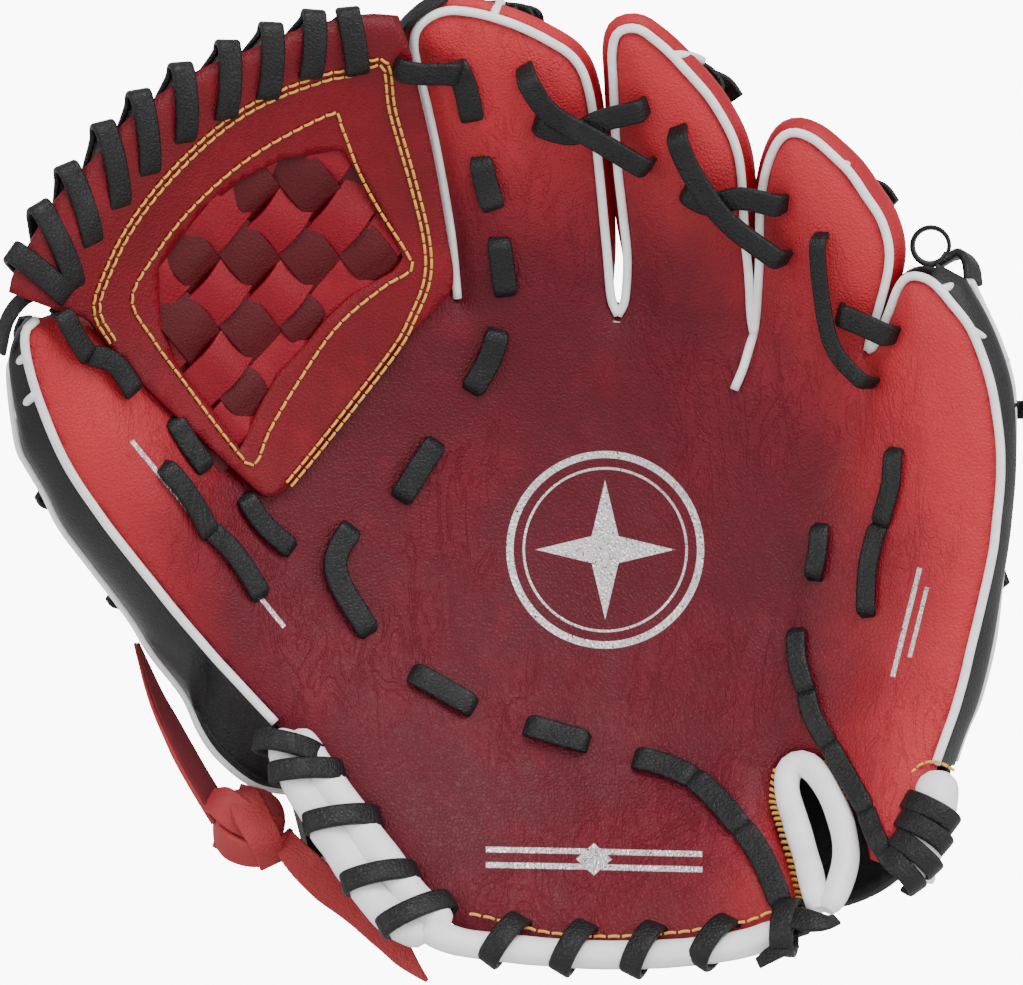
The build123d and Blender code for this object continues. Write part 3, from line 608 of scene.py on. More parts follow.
# ------------------------------------------------------------------ thumb and little-finger sides
# The outer sides and the back are black leather. The thumb's side is widest at the heel.
black_leather = finish_material("black_shell_leather", leather_look(
    (0.014, 0.0145, 0.016, 1), (0.009, 0.009, 0.010, 1), (0.024, 0.025, 0.028, 1), rough=0.42, creases=0.35,
    coat=0.10))
THUMB_OUTSIDE = curve([(-71.5, 18.8), (-81.5, 20.8), (-90, 27.3), (-95, 34), (-99.5, 43.5), (-107.5, 54),
                       (-113, 63), (-123, 76.5), (-129.8, 85.8), (-134, 94.5), (-138, 101.5), (-140, 106),
                       (-141.5, 117), (-141.8, 125.8), (-139.5, 129.5)])
PINKY_OUTSIDE = curve([(97.2, 148.3), (104, 133.8), (107.2, 124.5), (108.3, 117.3), (108.3, 103),
                       (107.3, 88.5), (105.5, 74.3), (103.5, 57.3), (100, 43.3), (96.5, 35), (93.8, 27.3)])
SIDE_BOW = 2.4
pinky_start = int(np.argmin(np.linalg.norm(PINKY_EDGE - (84.5, 147.2), axis=1)))
for name, edge, behind_line in (
        ("thumb_side_wall", THUMB_EDGE, np.r_[THUMB_OUTSIDE, [(-137.5, 134.5)]]),
        ("pinky_side_wall", PINKY_EDGE[pinky_start:], np.r_[[(90, 150.8)], PINKY_OUTSIDE])):
    places, walls, _ = wall_mesh(edge, behind_line, SIDE_BOW, rows=12)
    piece = make_object(name, places, walls)
    face_outwards(piece, tuple(dish(-60, 80, -10)) if "thumb" in name else tuple(dish(60, 80, -10)))
    piece.data.materials.append(black_leather)
    thicken(piece, SHELL_THICK)
    bend_with(piece, name.split("_")[0])
    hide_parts(name.split("_")[0] + "_gusset")

# ------------------------------------------------------------------ back of the hand
# One black shell over the knuckles, thumb and little finger, with the usual open back
# above the wrist band. Where each panel meets the next there is a raised seam.
FINGER_ROOTS = curve([(-38, 146), (-20, 149), (-4, 147), (10, 143), (26, 141), (42, 137), (56, 133),
                      (70, 131)])
WEB_SIDE = curve([(-136.5, 138.5), (-128, 137), (-119, 129), (-107, 113), (-94, 98), (-85, 91), (-79, 94),
                  (-71, 103), (-59, 119), (-48, 134), (-38, 146)])
PINKY_TIP = curve([(70, 131), (76, 138), (80, 147.5), (85, 151.5), (92, 150.5), (97.2, 148.3)])
BACK_LOW = curve([(93.8, 27.3), (92, 14), (84, 1), (74, -7), (60, -11), (30, -13), (0, -14), (-26, -12),
                  (-46, -4), (-60, 8), (-71.5, 18.8)])
BACK_OUTLINE = outline(THUMB_OUTSIDE, WEB_SIDE, FINGER_ROOTS, PINKY_TIP, PINKY_OUTSIDE, BACK_LOW)
OPEN_BACK = curve([(-34, 46), (-20, 56), (0, 60), (22, 58), (40, 48), (44, 38), (30, 34), (0, 33), (-24, 35)],
                  closed=True)[:-1]


def panel_with_hole(loop, hole, step):
    """Points and triangles of a panel with one opening cut in it."""
    points, _ = panel_points(loop, step)
    clear = ~inside(points, hole) & (edge_distance(points, hole) > step * 0.5)
    points = np.concatenate([points[clear], hole])
    count = len(points) - len(hole)
    ring = [(count + i, count + (i + 1) % len(hole)) for i in range(len(hole))]
    verts, _, triangles, _, _, _ = geometry.delaunay_2d_cdt([Vector(p) for p in points], ring, [], 0, 1e-4)
    flat_points = np.array([tuple(v) for v in verts])
    centres = flat_points[np.array([list(t)[:3] for t in triangles])].mean(1)
    keep = inside(centres, loop) & ~inside(centres, hole)
    return flat_points, [list(t) for t, k in zip(triangles, keep) if k]


flat_back, triangles = panel_with_hole(BACK_OUTLINE, OPEN_BACK, 2.4)
near = np.minimum(edge_distance(flat_back, BACK_OUTLINE), edge_distance(flat_back, OPEN_BACK))
rise = -0.8 + 2.4 * (1 - np.exp(-near / 5.0))
for seam in (curve([(-50, -2), (-62, 40), (-80, 90)]), curve([(60, -6), (62, 40), (74, 130)]),
             curve([(-74, 84), (-30, 74), (0, 78), (30, 74), (66, 70)])):
    rise -= 1.3 * np.exp(-(edge_distance(flat_back, seam, closed=False) / 2.2)**2)
hand_back = make_object("back_leather", back(flat_back[:, 0], flat_back[:, 1], rise), triangles)
IN_FRONT = (0, -400, 80)               # a point far in front of the palm
face_outwards(hand_back, IN_FRONT)
hand_back.data.materials.append(black_leather)
thicken(hand_back, SHELL_THICK)
for piece in bend_halves(hand_back):
    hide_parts("hand_back", "thumb_back" if "thumb" in piece.name else "pinky_back")


# ------------------------------------------------------------------ piping
# White welting is sewn into the front edge of every stall, and into the back edges.
CORD_SIDES = 12


def sweep_section(places, ups, wide, sides=CORD_SIDES):
    """Faces of a round cord, wide mm across, along places in mm."""
    places = np.asarray(places, float)
    count = len(places)
    along = np.gradient(places, axis=0)
    along /= np.linalg.norm(along, axis=1)[:, None] + 1e-9
    side = np.cross(along, ups)
    side /= np.linalg.norm(side, axis=1)[:, None] + 1e-9
    up = np.cross(side, along)
    angles = np.linspace(0, 2 * np.pi, sides, endpoint=False)
    rings = (places[:, None] + side[:, None] * (np.cos(angles)[None, :, None] * wide / 2)
             + up[:, None] * (np.sin(angles)[None, :, None] * wide / 2))
    verts = rings.reshape(-1, 3)
    quads = []
    for i in range(count - 1):
        for k in range(sides):
            a, b = i * sides + k, i * sides + (k + 1) % sides
            quads.append([a, b, b + sides, a + sides])
    quads.append(list(range(sides))[::-1])
    quads.append([(count - 1) * sides + k for k in range(sides)])
    return verts, quads


def gather(name, parts):
    """One piece of piping from several (places, faces) in mm."""
    verts, quads, base = [], [], 0
    for places, part_faces in parts:
        verts.append(places)
        quads += [[v + base for v in f] for f in part_faces]
        base += len(places)
    made = make_object(name, np.concatenate(verts), quads)
    shape = bmesh.new()
    shape.from_mesh(made.data)
    bmesh.ops.recalc_face_normals(shape, faces=shape.faces)
    shape.to_mesh(made.data)
    shape.free()
    made.data.shade_smooth()
    made.data.materials.append(piping_leather)
    return made


def outset(line, amount):
    """An open line moved sideways, positive to its right."""
    along = np.gradient(line, axis=0)
    along /= np.linalg.norm(along, axis=1)[:, None] + 1e-9
    return line + np.stack([along[:, 1], -along[:, 0]], -1) * amount


def facing(line):
    """Unit directions out of the pocket at each point of a line."""
    return dish(line[:, 0], line[:, 1], 1.0) - dish(line[:, 0], line[:, 1], 0.0)


PIPING = 2.3
BACK_PIPING = 2.1
TIP_PIPING = 2.2
piping_leather = finish_material("white_piping", lambda place: {
    "Base Color": place.noise(260.0, 3.0).between(0.35, 0.7).mix((0.93, 0.93, 0.95, 1),
                                                                 (0.83, 0.82, 0.83, 1)),
    "Roughness": place.noise(600.0, 2.0) * 0.2 + 0.32, "Coat Weight": 0.2,
    "Height": (0.00012, place.noise(1100.0, 3.0) + place.stretched((1, 1, 0.4)).noise(160.0, 3.0) * 0.8)})


def front_piping(line, lift=1.1):
    rise_line = front_rise(line) + lift
    return sweep_section(dish(line[:, 0], line[:, 1], rise_line), facing(line), PIPING)


def back_piping(line):
    out = back(line[:, 0], line[:, 1], 1.0) - back(line[:, 0], line[:, 1], 0.0)
    return sweep_section(back(line[:, 0], line[:, 1], 0.4), out, BACK_PIPING)


def tip_piping(front, behind, bulge=1.5):
    """Piping of a seam that runs over a stall's wall, from its front edge to its back."""
    start = dish(*front, front_rise(np.array([front]))[0] + 1.0)
    stop = back(*behind, 0.6)
    middle = (start + stop) / 2
    away = np.array((middle[0] - DISH_CENTRE[0], 0, middle[2] - DISH_CENTRE[2]))
    middle = middle + away / np.linalg.norm(away) * bulge
    t = np.linspace(0, 1, 14)[:, None]
    line = (1 - t)**2 * start + 2 * t * (1 - t) * middle + t**2 * stop
    return sweep_section(line, np.broadcast_to(away / np.linalg.norm(away), line.shape), TIP_PIPING)


piece = gather("thumb_piping", [tip_piping((-135.3, 127.8), (-141.6, 123)),
                                tip_piping((-134, 118.5), (-140, 112.8)),
                                front_piping(outset(THUMB_EDGE, -0.3)), back_piping(THUMB_OUTSIDE)])
bend_with(piece, "thumb")
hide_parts("thumb_piping")
piece = gather("index_piping", [front_piping(INDEX_EDGE), tip_piping((-21.5, 210.4), (-19.6, 216.4))])
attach(piece, "palm")
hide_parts("finger_piping")
piece = gather("middle_piping", [tip_piping((22.3, 201.4), (30.6, 202.2)), front_piping(MIDDLE_EDGE),
                                 front_piping(curve([(42.6, 133.5), (41, 126), (38.8, 120.3)]), 0.6)])
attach(piece, "palm")
piece = gather("ring_piping", [front_piping(RING_EDGE), tip_piping((64, 174.8), (70.4, 174.6))])
bend_with(piece, "pinky")
piece = gather("pinky_piping", [tip_piping((88.4, 144.2), (97.2, 147)),
                                tip_piping((96.2, 134.2), (106.4, 127.3)),
                                front_piping(PINKY_EDGE), back_piping(PINKY_OUTSIDE)])
bend_with(piece, "pinky")
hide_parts("pinky_piping")


# ------------------------------------------------------------------ web
# The basket web is one heavy panel lapped over the thumb and palm edges and sewn down with
# yellow thread. Straps cut in its middle are woven over and under others of the same leather;
# the darker family is coloured with painted shade and the brighter one with painted light.
WEB_TOP = curve([(-140, 143.4), (-138.3, 149), (-129.5, 165.2), (-121, 175), (-113, 184.4), (-103, 192.4),
                 (-93, 198.4), (-81.5, 203.4), (-71.5, 207.6), (-61, 210.4), (-52, 212), (-44.8, 211.8)])
WEB_RIGHT = curve([(-44.8, 211.8), (-42.2, 204), (-40.8, 197), (-38.1, 185.5), (-35.6, 173), (-33.1, 158),
                   (-31.8, 149.5), (-33.4, 144), (-42.5, 134.4), (-51, 124), (-60, 112.4), (-70, 99.6),
                   (-76, 94), (-79.5, 93.6)])
WEB_LEFT = curve([(-79.5, 93.6), (-84.5, 98), (-99.5, 112), (-112, 124.5), (-120, 134.5), (-123, 137.5),
                  (-131, 140), (-140, 143.4)])
WEB_OUTLINE = outline(WEB_TOP, WEB_RIGHT, WEB_LEFT)
WINDOW = np.array([(-105.5, 150.5), (-95.5, 164), (-85, 172.5), (-75, 178), (-59.5, 180.5), (-53, 170),
                   (-48.5, 162), (-44.3, 153.5), (-47, 150), (-57, 144.5), (-64, 138), (-68.5, 132),
                   (-76, 124), (-80, 117), (-85.5, 105), (-92, 115), (-100.5, 125.5), (-105, 138)])


def web_rise(points):
    """The web sits proud of the edges it laps and rolls over along its top."""
    rise = 0.9 - 3.5 * np.exp(-edge_distance(points, WEB_TOP, closed=False) / 2.6)
    rise += bump_at(points, (-112, 168), (30, 12), 1.5, 48)
    return rise + np.array([noise.noise(Vector((x * 0.05, z * 0.05, 5.5))) * 0.7 for x, z in points])


web_leather = finish_material("web_leather", leather_look(
    (0.175, 0.0005, 0.0075, 1), (0.125, 0.0002, 0.005, 1), (0.245, 0.005, 0.012, 1), rough=0.46,
    creases=0.25, coat=0.03))
flat_web, triangles = panel_with_hole(WEB_OUTLINE, even(np.r_[WINDOW, WINDOW[:1]], 1.6)[:-1], 2.0)
web_panel = make_object("web_panel", dish(flat_web[:, 0], flat_web[:, 1], web_rise(flat_web)), triangles)
face_outwards(web_panel, (0, 400, 80))
web_panel.data.materials.append(web_leather)
thicken(web_panel, 2.2)
bend_with(web_panel, "thumb")
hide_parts("web_index_frame", "web_thumb_frame")


class Steps:
    """Builds a Geometry Nodes tree with named inputs."""

    def __init__(self, name, **inputs):
        self.tree = bpy.data.node_groups.new(name, "GeometryNodeTree")
        face = self.tree.interface
        face.new_socket("Geometry", in_out="INPUT", socket_type="NodeSocketGeometry")
        face.new_socket("Geometry", in_out="OUTPUT", socket_type="NodeSocketGeometry")
        for label, kind in inputs.items():
            face.new_socket(label.replace("_", " "), in_out="INPUT", socket_type="NodeSocket" + kind)
        self.start = self.tree.nodes.new("NodeGroupInput")
        self.stop = self.tree.nodes.new("NodeGroupOutput")

    def given(self, label="Geometry"):
        return Shade(self.tree, self.start.outputs[label])

    def node(self, kind, settings=None, out=0, **inputs):
        return Shade(self.tree, None).node(kind, settings, out, **inputs)

    def finish(self, geometry, material="Material"):
        whole = self.node("GeometryNodeRealizeInstances", Geometry=geometry)
        whole = self.node("GeometryNodeSetMaterial", Geometry=whole, Material=self.given(material))
        self.tree.links.new(whole.socket, self.stop.inputs[0])
        return self.tree


def lines_mesh(name, lines):
    """Open lines as a mesh of edges in metres, each point carrying its own 'up'."""
    places, ups, edges, widths = [], [], [], []
    for line_places, line_ups, *rest in lines:
        base = len(places)
        along = np.gradient(np.asarray(line_places), axis=0)
        along /= np.linalg.norm(along, axis=1)[:, None] + 1e-9
        line_ups = np.asarray(line_ups) - along * (np.asarray(line_ups) * along).sum(1)[:, None]
        line_ups /= np.linalg.norm(line_ups, axis=1)[:, None] + 1e-9
        places += [tuple(p) for p in np.asarray(line_places) * MM]
        ups += [tuple(u) for u in line_ups]
        widths += list(np.broadcast_to(rest[0] if rest else 1.0, len(line_places)))
        edges += [(base + i, base + i + 1) for i in range(len(line_places) - 1)]
    mesh = bpy.data.meshes.new(name + "_path")
    mesh.from_pydata(places, edges, [])
    mesh.attributes.new("up", "FLOAT_VECTOR", "POINT").data.foreach_set("vector",
                                                                        np.array(ups, float).ravel())
    mesh.attributes.new("width", "FLOAT", "POINT").data.foreach_set("value", np.array(widths, float))
    return mesh


def grow(name, tree, lines, **values):
    """Runs a tree over some lines and keeps the result as a plain mesh object."""
    seed = bpy.data.objects.new(name, lines_mesh(name, lines))
    bpy.context.scene.collection.objects.link(seed)
    step = seed.modifiers.new("grow", "NODES")
    step.node_group = tree
    for item in tree.interface.items_tree:
        if item.in_out == "INPUT" and item.name.replace(" ", "_") in values:
            step[item.identifier] = values[item.name.replace(" ", "_")]
    evaluated = seed.evaluated_get(bpy.context.evaluated_depsgraph_get())
    grown = bpy.data.meshes.new_from_object(evaluated, preserve_all_data_layers=True,
                                            depsgraph=bpy.context.evaluated_depsgraph_get())
    seed.modifiers.clear()
    seed.data = grown
    grown.name = name
    grown.shade_smooth()
    return seed


def strap_tree():
    """A flat strap or cord with rounded corners along each line."""
    steps = Steps("strap_along_line", Width="Float", Thickness="Float", Corner="Float", Material="Material")
    line = steps.node("GeometryNodeMeshToCurve", Mesh=steps.given())
    up = steps.node("GeometryNodeInputNamedAttribute", {"data_type": "FLOAT_VECTOR"}, i0="up")
    line = steps.node("GeometryNodeSetCurveNormal", {"mode": "FREE"}, Curve=line, Normal=up)
    wide = steps.node("GeometryNodeInputNamedAttribute", {"data_type": "FLOAT"}, i0="width")
    section = steps.node("GeometryNodeCurvePrimitiveQuadrilateral", i0=steps.given("Thickness"),
                         i1=steps.given("Width"))
    section = steps.node("GeometryNodeFilletCurve", {"mode": "POLY"}, Curve=section,
                         Radius=steps.given("Corner"),
                         Count=3)
    strap = steps.node("GeometryNodeCurveToMesh", Curve=line, Profile_Curve=section, Scale=wide,
                       Fill_Caps=True)
    return steps.finish(strap)


def stitch_tree():
    """Short raised stitches of thread, evenly spaced, each sunk a little at both ends."""
    steps = Steps("stitches_along_line", Spacing="Float", Length="Float", Thread="Float", Material="Material")
    line = steps.node("GeometryNodeMeshToCurve", Mesh=steps.given())
    up = steps.node("GeometryNodeInputNamedAttribute", {"data_type": "FLOAT_VECTOR"}, i0="up")
    line = steps.node("GeometryNodeSetCurveNormal", {"mode": "FREE"}, Curve=line, Normal=up)
    points = steps.node("GeometryNodeCurveToPoints", {"mode": "LENGTH"}, Curve=line,
                        Length=steps.given("Spacing"))
    turns = Shade(steps.tree, points.socket.node.outputs["Rotation"])
    half = steps.given("Length") * 0.5
    low = half * -1.0
    start = steps.node("ShaderNodeCombineXYZ", Z=low)
    stop = steps.node("ShaderNodeCombineXYZ", Z=half)
    bend = steps.node("ShaderNodeCombineXYZ", X=steps.given("Thread") * 0.9)
    thread_line = steps.node("GeometryNodeCurveQuadraticBezier", Resolution=5, Start=start, Middle=bend,
                             End=stop)
    section = steps.node("GeometryNodeCurvePrimitiveCircle", Resolution=6, Radius=steps.given("Thread") * 0.5)
    one = steps.node("GeometryNodeCurveToMesh", Curve=thread_line, Profile_Curve=section, Fill_Caps=True)
    many = steps.node("GeometryNodeInstanceOnPoints", Points=points, Instance=one, Rotation=turns)
    return steps.finish(many)


STRAP = strap_tree()
STITCHES = stitch_tree()


def on_front(flat, rise, width=1.0):
    """Places and ups for a line laid on the front, for lines_mesh."""
    flat = np.asarray(flat, float)
    return dish(flat[:, 0], flat[:, 1], rise), facing(flat), width


WEAVE_MIDDLE = np.array((-75.3, 162.5))
WEAVE_UP = (7.5, 9.0)                  # half a cell along the straps that climb to the right
WEAVE_DOWN = (7.5, -9.0)


def weave_lines(direction, other, over_when_even):
    """Centre lines of one family of straps, waving over and under the other family."""
    lines = []
    for lane in range(-7, 8):
        along = np.arange(-7.5, 7.51, 0.125)
        flat = WEAVE_MIDDLE + np.outer(along, direction) + np.array(other) * lane
        to_frame = edge_distance(flat, WINDOW) * np.where(inside(flat, WINDOW), 1.0, -1.0)
        keep = to_frame > -3.2
        if keep.sum() < 6:
            continue
        runs = np.flatnonzero(keep)
        span = slice(runs[0], runs[-1] + 1)
        flat, steps_along, to_frame = flat[span], along[span], to_frame[span]
        side = 1 if over_when_even else -1
        wave = side * np.cos(np.pi * (steps_along + lane)) * 1.5
        rise = 0.2 + wave - (0.0 if over_when_even else 0.5)
        rise = np.minimum(rise, -0.9 + 0.36 * to_frame)
        lines.append(on_front(flat, rise))
    return lines


# Both strap families are one leather: the bright colour is painted light on the straps that stand up, the
# dark colour painted shade on the straps that lie lower.
weave_strap_painted_light = finish_material("bright_weave_strap", leather_look(
    (0.225, 0.001, 0.011, 1), (0.175, 0.0005, 0.008, 1), (0.285, 0.008, 0.016, 1), rough=0.44, creases=0.1,
    coat=0.03))
weave_strap_painted_shade = finish_material("dark_weave_strap", leather_look(
    (0.074, 0.0001, 0.003, 1), (0.056, 0.0001, 0.002, 1), (0.095, 0.0005, 0.004, 1), rough=0.5, creases=0.1,
    coat=0.02))
bright = grow("weave_bright_straps", STRAP, weave_lines(WEAVE_UP, WEAVE_DOWN, True),
              Width=0.0117, Thickness=0.0013, Corner=0.0005, Material=weave_strap_painted_light)
dark = grow("weave_dark_straps", STRAP, weave_lines(WEAVE_DOWN, WEAVE_UP, False),
            Width=0.0118, Thickness=0.0013, Corner=0.0005, Material=weave_strap_painted_shade)
for piece, node in ((bright, "web_index_weave"), (dark, "web_thumb_weave")):
    bend_with(piece, "thumb")
    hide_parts(node)

# A second, plain layer of leather backs the woven one.
middle_of_web = np.array((-84.0, 150.0))
backing_edge = middle_of_web + (WEB_OUTLINE - middle_of_web) * 0.955
points, triangles = panel_points(backing_edge, 2.6)
web_backing = make_object("web_backing", dish(points[:, 0], points[:, 1], -4.4), triangles)
face_outwards(web_backing, IN_FRONT)
web_backing.data.materials.append(finish_material("web_backing_leather", leather_look(
    (0.20, 0.001, 0.010, 1), (0.14, 0.0005, 0.007, 1), (0.28, 0.006, 0.016, 1), rough=0.5, creases=0.3,
    coat=0.02)))
thicken(web_backing, 1.6)
bend_with(web_backing, "thumb")

thread = finish_material("yellow_thread", lambda place: {
    "Base Color": place.noise(700.0, 2.0).mix((0.62, 0.30, 0.02, 1), (0.85, 0.50, 0.10, 1)),
    "Roughness": 0.55, "Height": (0.0001, place.stretched((1, 1, 6)).noise(2500.0, 2.0))})
OUTER_SEAM = curve([(-72.5, 97.4), (-67.5, 103.5), (-57, 116.8), (-46.2, 131.2), (-42.5, 138), (-38.6, 148),
                    (-38.6, 158), (-42, 172.5), (-47, 190), (-49.2, 201.8), (-58, 199.4), (-64, 198.2),
                    (-77, 193.6), (-89, 186.4), (-104, 173), (-114.5, 158.5), (-120.2, 145), (-120.6, 138.6),
                    (-117.5, 133)])
INNER_SEAM = curve([(-62.5, 189.3), (-80, 180.4), (-96, 167.2), (-105.8, 155), (-112.2, 143), (-106.8, 132.5),
                    (-100.3, 123.4), (-92, 112), (-86, 104.2), (-83.2, 101.4), (-81.2, 102.6), (-78, 110.5),
                    (-70.8, 122.6), (-61, 136.6), (-49.5, 146.3), (-43.2, 150.2), (-43, 153.8),
                    (-50.3, 165.3), (-55.5, 175), (-60, 186.6)], closed=True)


def web_seam(flat):
    return on_front(flat, web_rise(flat) + 0.15)


seams = grow("web_stitching", STITCHES, [web_seam(outset(OUTER_SEAM, 0.75)),
                                         web_seam(outset(OUTER_SEAM, -0.75)),
                                         web_seam(INNER_SEAM)],
             Spacing=0.0030, Length=0.0024, Thread=0.00075, Material=thread)
bend_with(seams, "thumb")


# ------------------------------------------------------------------ web lacing
# One flat rawhide lace spirals over the top edge of the web, through ten punched holes.
WRAPS = [((-55.6, 198.8), (-57, 211.4)), ((-67.8, 197.6), (-65.4, 210.6)), ((-78.5, 192.2), (-75.8, 207.4)),
         ((-89, 187.2), (-86.3, 203)), ((-99, 181.4), (-97.6, 197.4)), ((-107.9, 172.8), (-107.7, 190.6)),
         ((-115, 164.6), (-116.3, 182.8)), ((-121.7, 155.4), (-125, 172.6)), ((-125.9, 144.6), (-131.6, 163)),
         ((-127.6, 142.8), (-137.6, 152.4))]


def smooth_places(places, step=0.8):
    """A smooth line through points in space, evenly spaced, in mm."""
    places = np.asarray(places, float)
    padded = np.r_[[2 * places[0] - places[1]], places, [2 * places[-1] - places[-2]]]
    line = []
    for a, b, c, d in zip(padded, padded[1:], padded[2:], padded[3:]):
        for t in np.linspace(0, 1, 12, endpoint=False):
            line.append(0.5 * (2 * b + (c - a) * t + (2 * a - 5 * b + 4 * c - d) * t**2
                               + (3 * b - a - 3 * c + d) * t**3))
    line = np.array(line + [places[-1]])
    lengths = np.r_[0, np.cumsum(np.linalg.norm(np.diff(line, axis=0), axis=1))]
    wanted = np.linspace(0, lengths[-1], max(int(lengths[-1] / step), 4))
    return np.stack([np.interp(wanted, lengths, line[:, k]) for k in range(3)], -1)


def ups_from(line, centre):
    """Ups that point away from a centre line or point, for lace wrapped round an edge."""
    away = line - np.asarray(centre)
    return away / (np.linalg.norm(away, axis=1)[:, None] + 1e-9)


black_lace = finish_material("black_lace", leather_look(
    (0.009, 0.0095, 0.010, 1), (0.006, 0.006, 0.0065, 1), (0.021, 0.022, 0.023, 1), 0.00030, rough=0.42,
    creases=0.5, coat=0.05))
LACE_WIDE = 6.2
LACE_THICK = 1.7
LACE_CORNER = 0.8


def lace(name, lines, wide=LACE_WIDE, thick=LACE_THICK, corner=LACE_CORNER):
    """Black lace along each line, sizes in mm."""
    return grow(name, STRAP, lines, Width=wide * MM, Thickness=thick * MM, Corner=corner * MM,
                Material=black_lace)


wraps = []
for number, ((hx, hz), (tx, tz)) in enumerate(WRAPS):
    nx, nz = WRAPS[min(number + 1, len(WRAPS) - 1)][0]
    hole = np.array((hx, hz))
    top = np.array((tx, tz))
    route = [dish(hx, hz, -3.5), dish(*(hole * 0.9 + top * 0.1), 1.6), dish(*(hole * 0.5 + top * 0.5), 1.7),
             dish(*(hole * 0.12 + top * 0.88), -0.6), dish(*(top + (top - hole) * 0.07), -3.4),
             dish(*(top * 0.88 + hole * 0.12), -6.6), dish((tx + nx) / 2, (tz + nz) / 2, -7.2),
             dish(nx, nz, -4.5)]
    line = smooth_places(route)
    centre = dish(*(hole * 0.55 + top * 0.45), -2.8)
    wraps.append((line, ups_from(line, centre), 1.0))
top_lace = lace("web_top_lace", wraps)
bend_with(top_lace, "thumb")
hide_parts("web_index_top_lace", "web_thumb_top_lace")


# ------------------------------------------------------------------ palm lacing
# The same lace runs in and out of the palm, tying the shell to the lining. Each visible
# stitch is a flat bar that dips into its holes at both ends.
def lace_bar(points, lift=1.3, dip=2.6, base=None, wide=1.0):
    """One visible stitch, given as flat points, arched over the leather."""
    flat = np.array(points, float)
    flat[0] += (flat[0] - flat[1]) / np.linalg.norm(flat[0] - flat[1]) * 0.9
    flat[-1] += (flat[-1] - flat[-2]) / np.linalg.norm(flat[-1] - flat[-2]) * 0.9
    flat = even(curve(flat, step=0.7), 0.7)
    count = len(flat)
    along = np.linspace(0, 1, count)
    ends = np.minimum(along, 1 - along) * (count - 1) * 0.7
    arch = lift - (lift + dip) * np.exp(-(ends / 1.5)**2)
    level = front_rise(flat) if base is None else base
    narrow = wide * (0.62 + 0.38 * (1 - np.exp(-(ends / 1.5)**2)))
    return on_front(flat, level + arch + 0.3, narrow)


PALM_BARS = [[(-24.9, 178.4), (-23.6, 172), (-21.4, 165.4)], [(-20.4, 158.4), (-19.4, 151), (-18.4, 143.6)],
             [(-20.4, 135.2), (-22.6, 128), (-27.4, 119.6)], [(-35.8, 107.4), (-40, 101), (-45.2, 92.6)],
             [(-57, 86), (-60.6, 80.5), (-61.6, 75.2), (-59, 68.6), (-52.6, 58.9)],
             [(-42.4, 49.2), (-35, 45), (-26.4, 40.3)], [(-13.6, 36), (-6, 33.6), (2.3, 31.2)],
             [(13.4, 28), (21.5, 26), (29, 22.4)], [(28, 23.2), (34.4, 17.4), (41, 9.6)],
             [(40.2, 11), (45.6, 3), (50, -8)],
             ]
PINKY_BARS = [[(79.9, 105.6), (79.3, 96), (76.3, 85.6)], [(76.2, 86.4), (73.4, 75), (72.6, 63)],
              [(60.4, 86.6), (60.3, 80), (58.9, 72.3)], [(54.3, 60.6), (54.9, 52), (57.2, 43.6)],
              [(56.9, 45), (58.6, 38), (62.4, 30.6)], [(61.6, 32.4), (66.4, 24), (71.6, 14.8)],
              [(71, 16), (73.2, 9.6), (76.4, 3.8), (81, 0.4)]]
THUMB_BARS = [[(-129.6, 139.6), (-126.4, 133), (-122.6, 127.8)],
              [(-123.6, 128.8), (-117.4, 127), (-111.8, 119)],
              [(-101.8, 112.9), (-98.4, 106.4), (-93.8, 99.8)], [(-105.9, 101.2), (-99.6, 93), (-93.6, 83)],
              [(-94, 85), (-87, 78), (-80.2, 67.6)], [(-84.2, 93.6), (-79, 86), (-71.8, 79.8)]]
palm_bars = lace("palm_lace_bars", [lace_bar(b) for b in PALM_BARS])
pinky_bars = lace("pinky_lace_bars", [lace_bar(b) for b in PINKY_BARS], wide=5.2)
ON_WEB = 0.8                           # the first two thumb bars lie on the web's lap
thumb_bars = lace("thumb_lace_bars", [lace_bar(b, base=ON_WEB) for b in THUMB_BARS[:2]]
                  + [lace_bar(b) for b in THUMB_BARS[2:]], wide=5.6)
web_corner = lace("web_corner_lace", [
    lace_bar([(-46.6, 201.4), (-40, 200.6), (-33.6, 200.6), (-29.6, 200.2)], 3.0, 4.0, base=0.4),
    lace_bar([(-31, 201.6), (-28.6, 195.5), (-26.8, 187)], 1.4, 3.0)])
bend_with(thumb_bars, "thumb")
bend_with(pinky_bars, "pinky")
bend_halves(palm_bars)
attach(web_corner, "palm")
for piece, nodes in ((thumb_bars, ["thumb_lace"]), (pinky_bars, ["pinky_lace"]), (web_corner, ["palm_lace"])):
    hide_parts(*nodes)

# ------------------------------------------------------------------ finger lacing
# Crossed laces hold each finger to the next, high up between the tips.
CROSSES = {
    "middle": [lace_bar([(-14, 200.4), (-7.6, 191.4), (4.4, 184.4), (18.2, 176.2)], 4.6, 7.0, base=-0.5,
                        wide=0.95),
               lace_bar([(-11.4, 187.6), (-2, 185.2), (6, 188.6), (16.8, 191)], 2.6, 5.0, base=-0.5)],
    "ring": [lace_bar([(24.4, 185.8), (28.8, 176), (38, 163.6), (52.2, 152.8)], 4.6, 7.0, base=-0.5,
                      wide=0.95),
             lace_bar([(26, 170.8), (33, 167.4), (41, 168.8), (51.6, 166.4)], 2.6, 5.0, base=-0.5)],
    "pinky": [lace_bar([(60.8, 160), (61.6, 148), (65, 131.5), (73.6, 121.4)], 4.6, 7.0, base=-0.5,
                       wide=0.72),
              lace_bar([(64.6, 139.8), (71.4, 137), (78.8, 133.4)], 2.6, 5.0, base=-0.5)],
}
for name, bars in CROSSES.items():
    piece = lace(name + "_cross_lace", bars, wide=6.0, thick=1.9, corner=0.7)
    if name == "middle":
        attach(piece, "palm")
        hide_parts("finger_lace")
    else:
        bend_with(piece, "pinky")


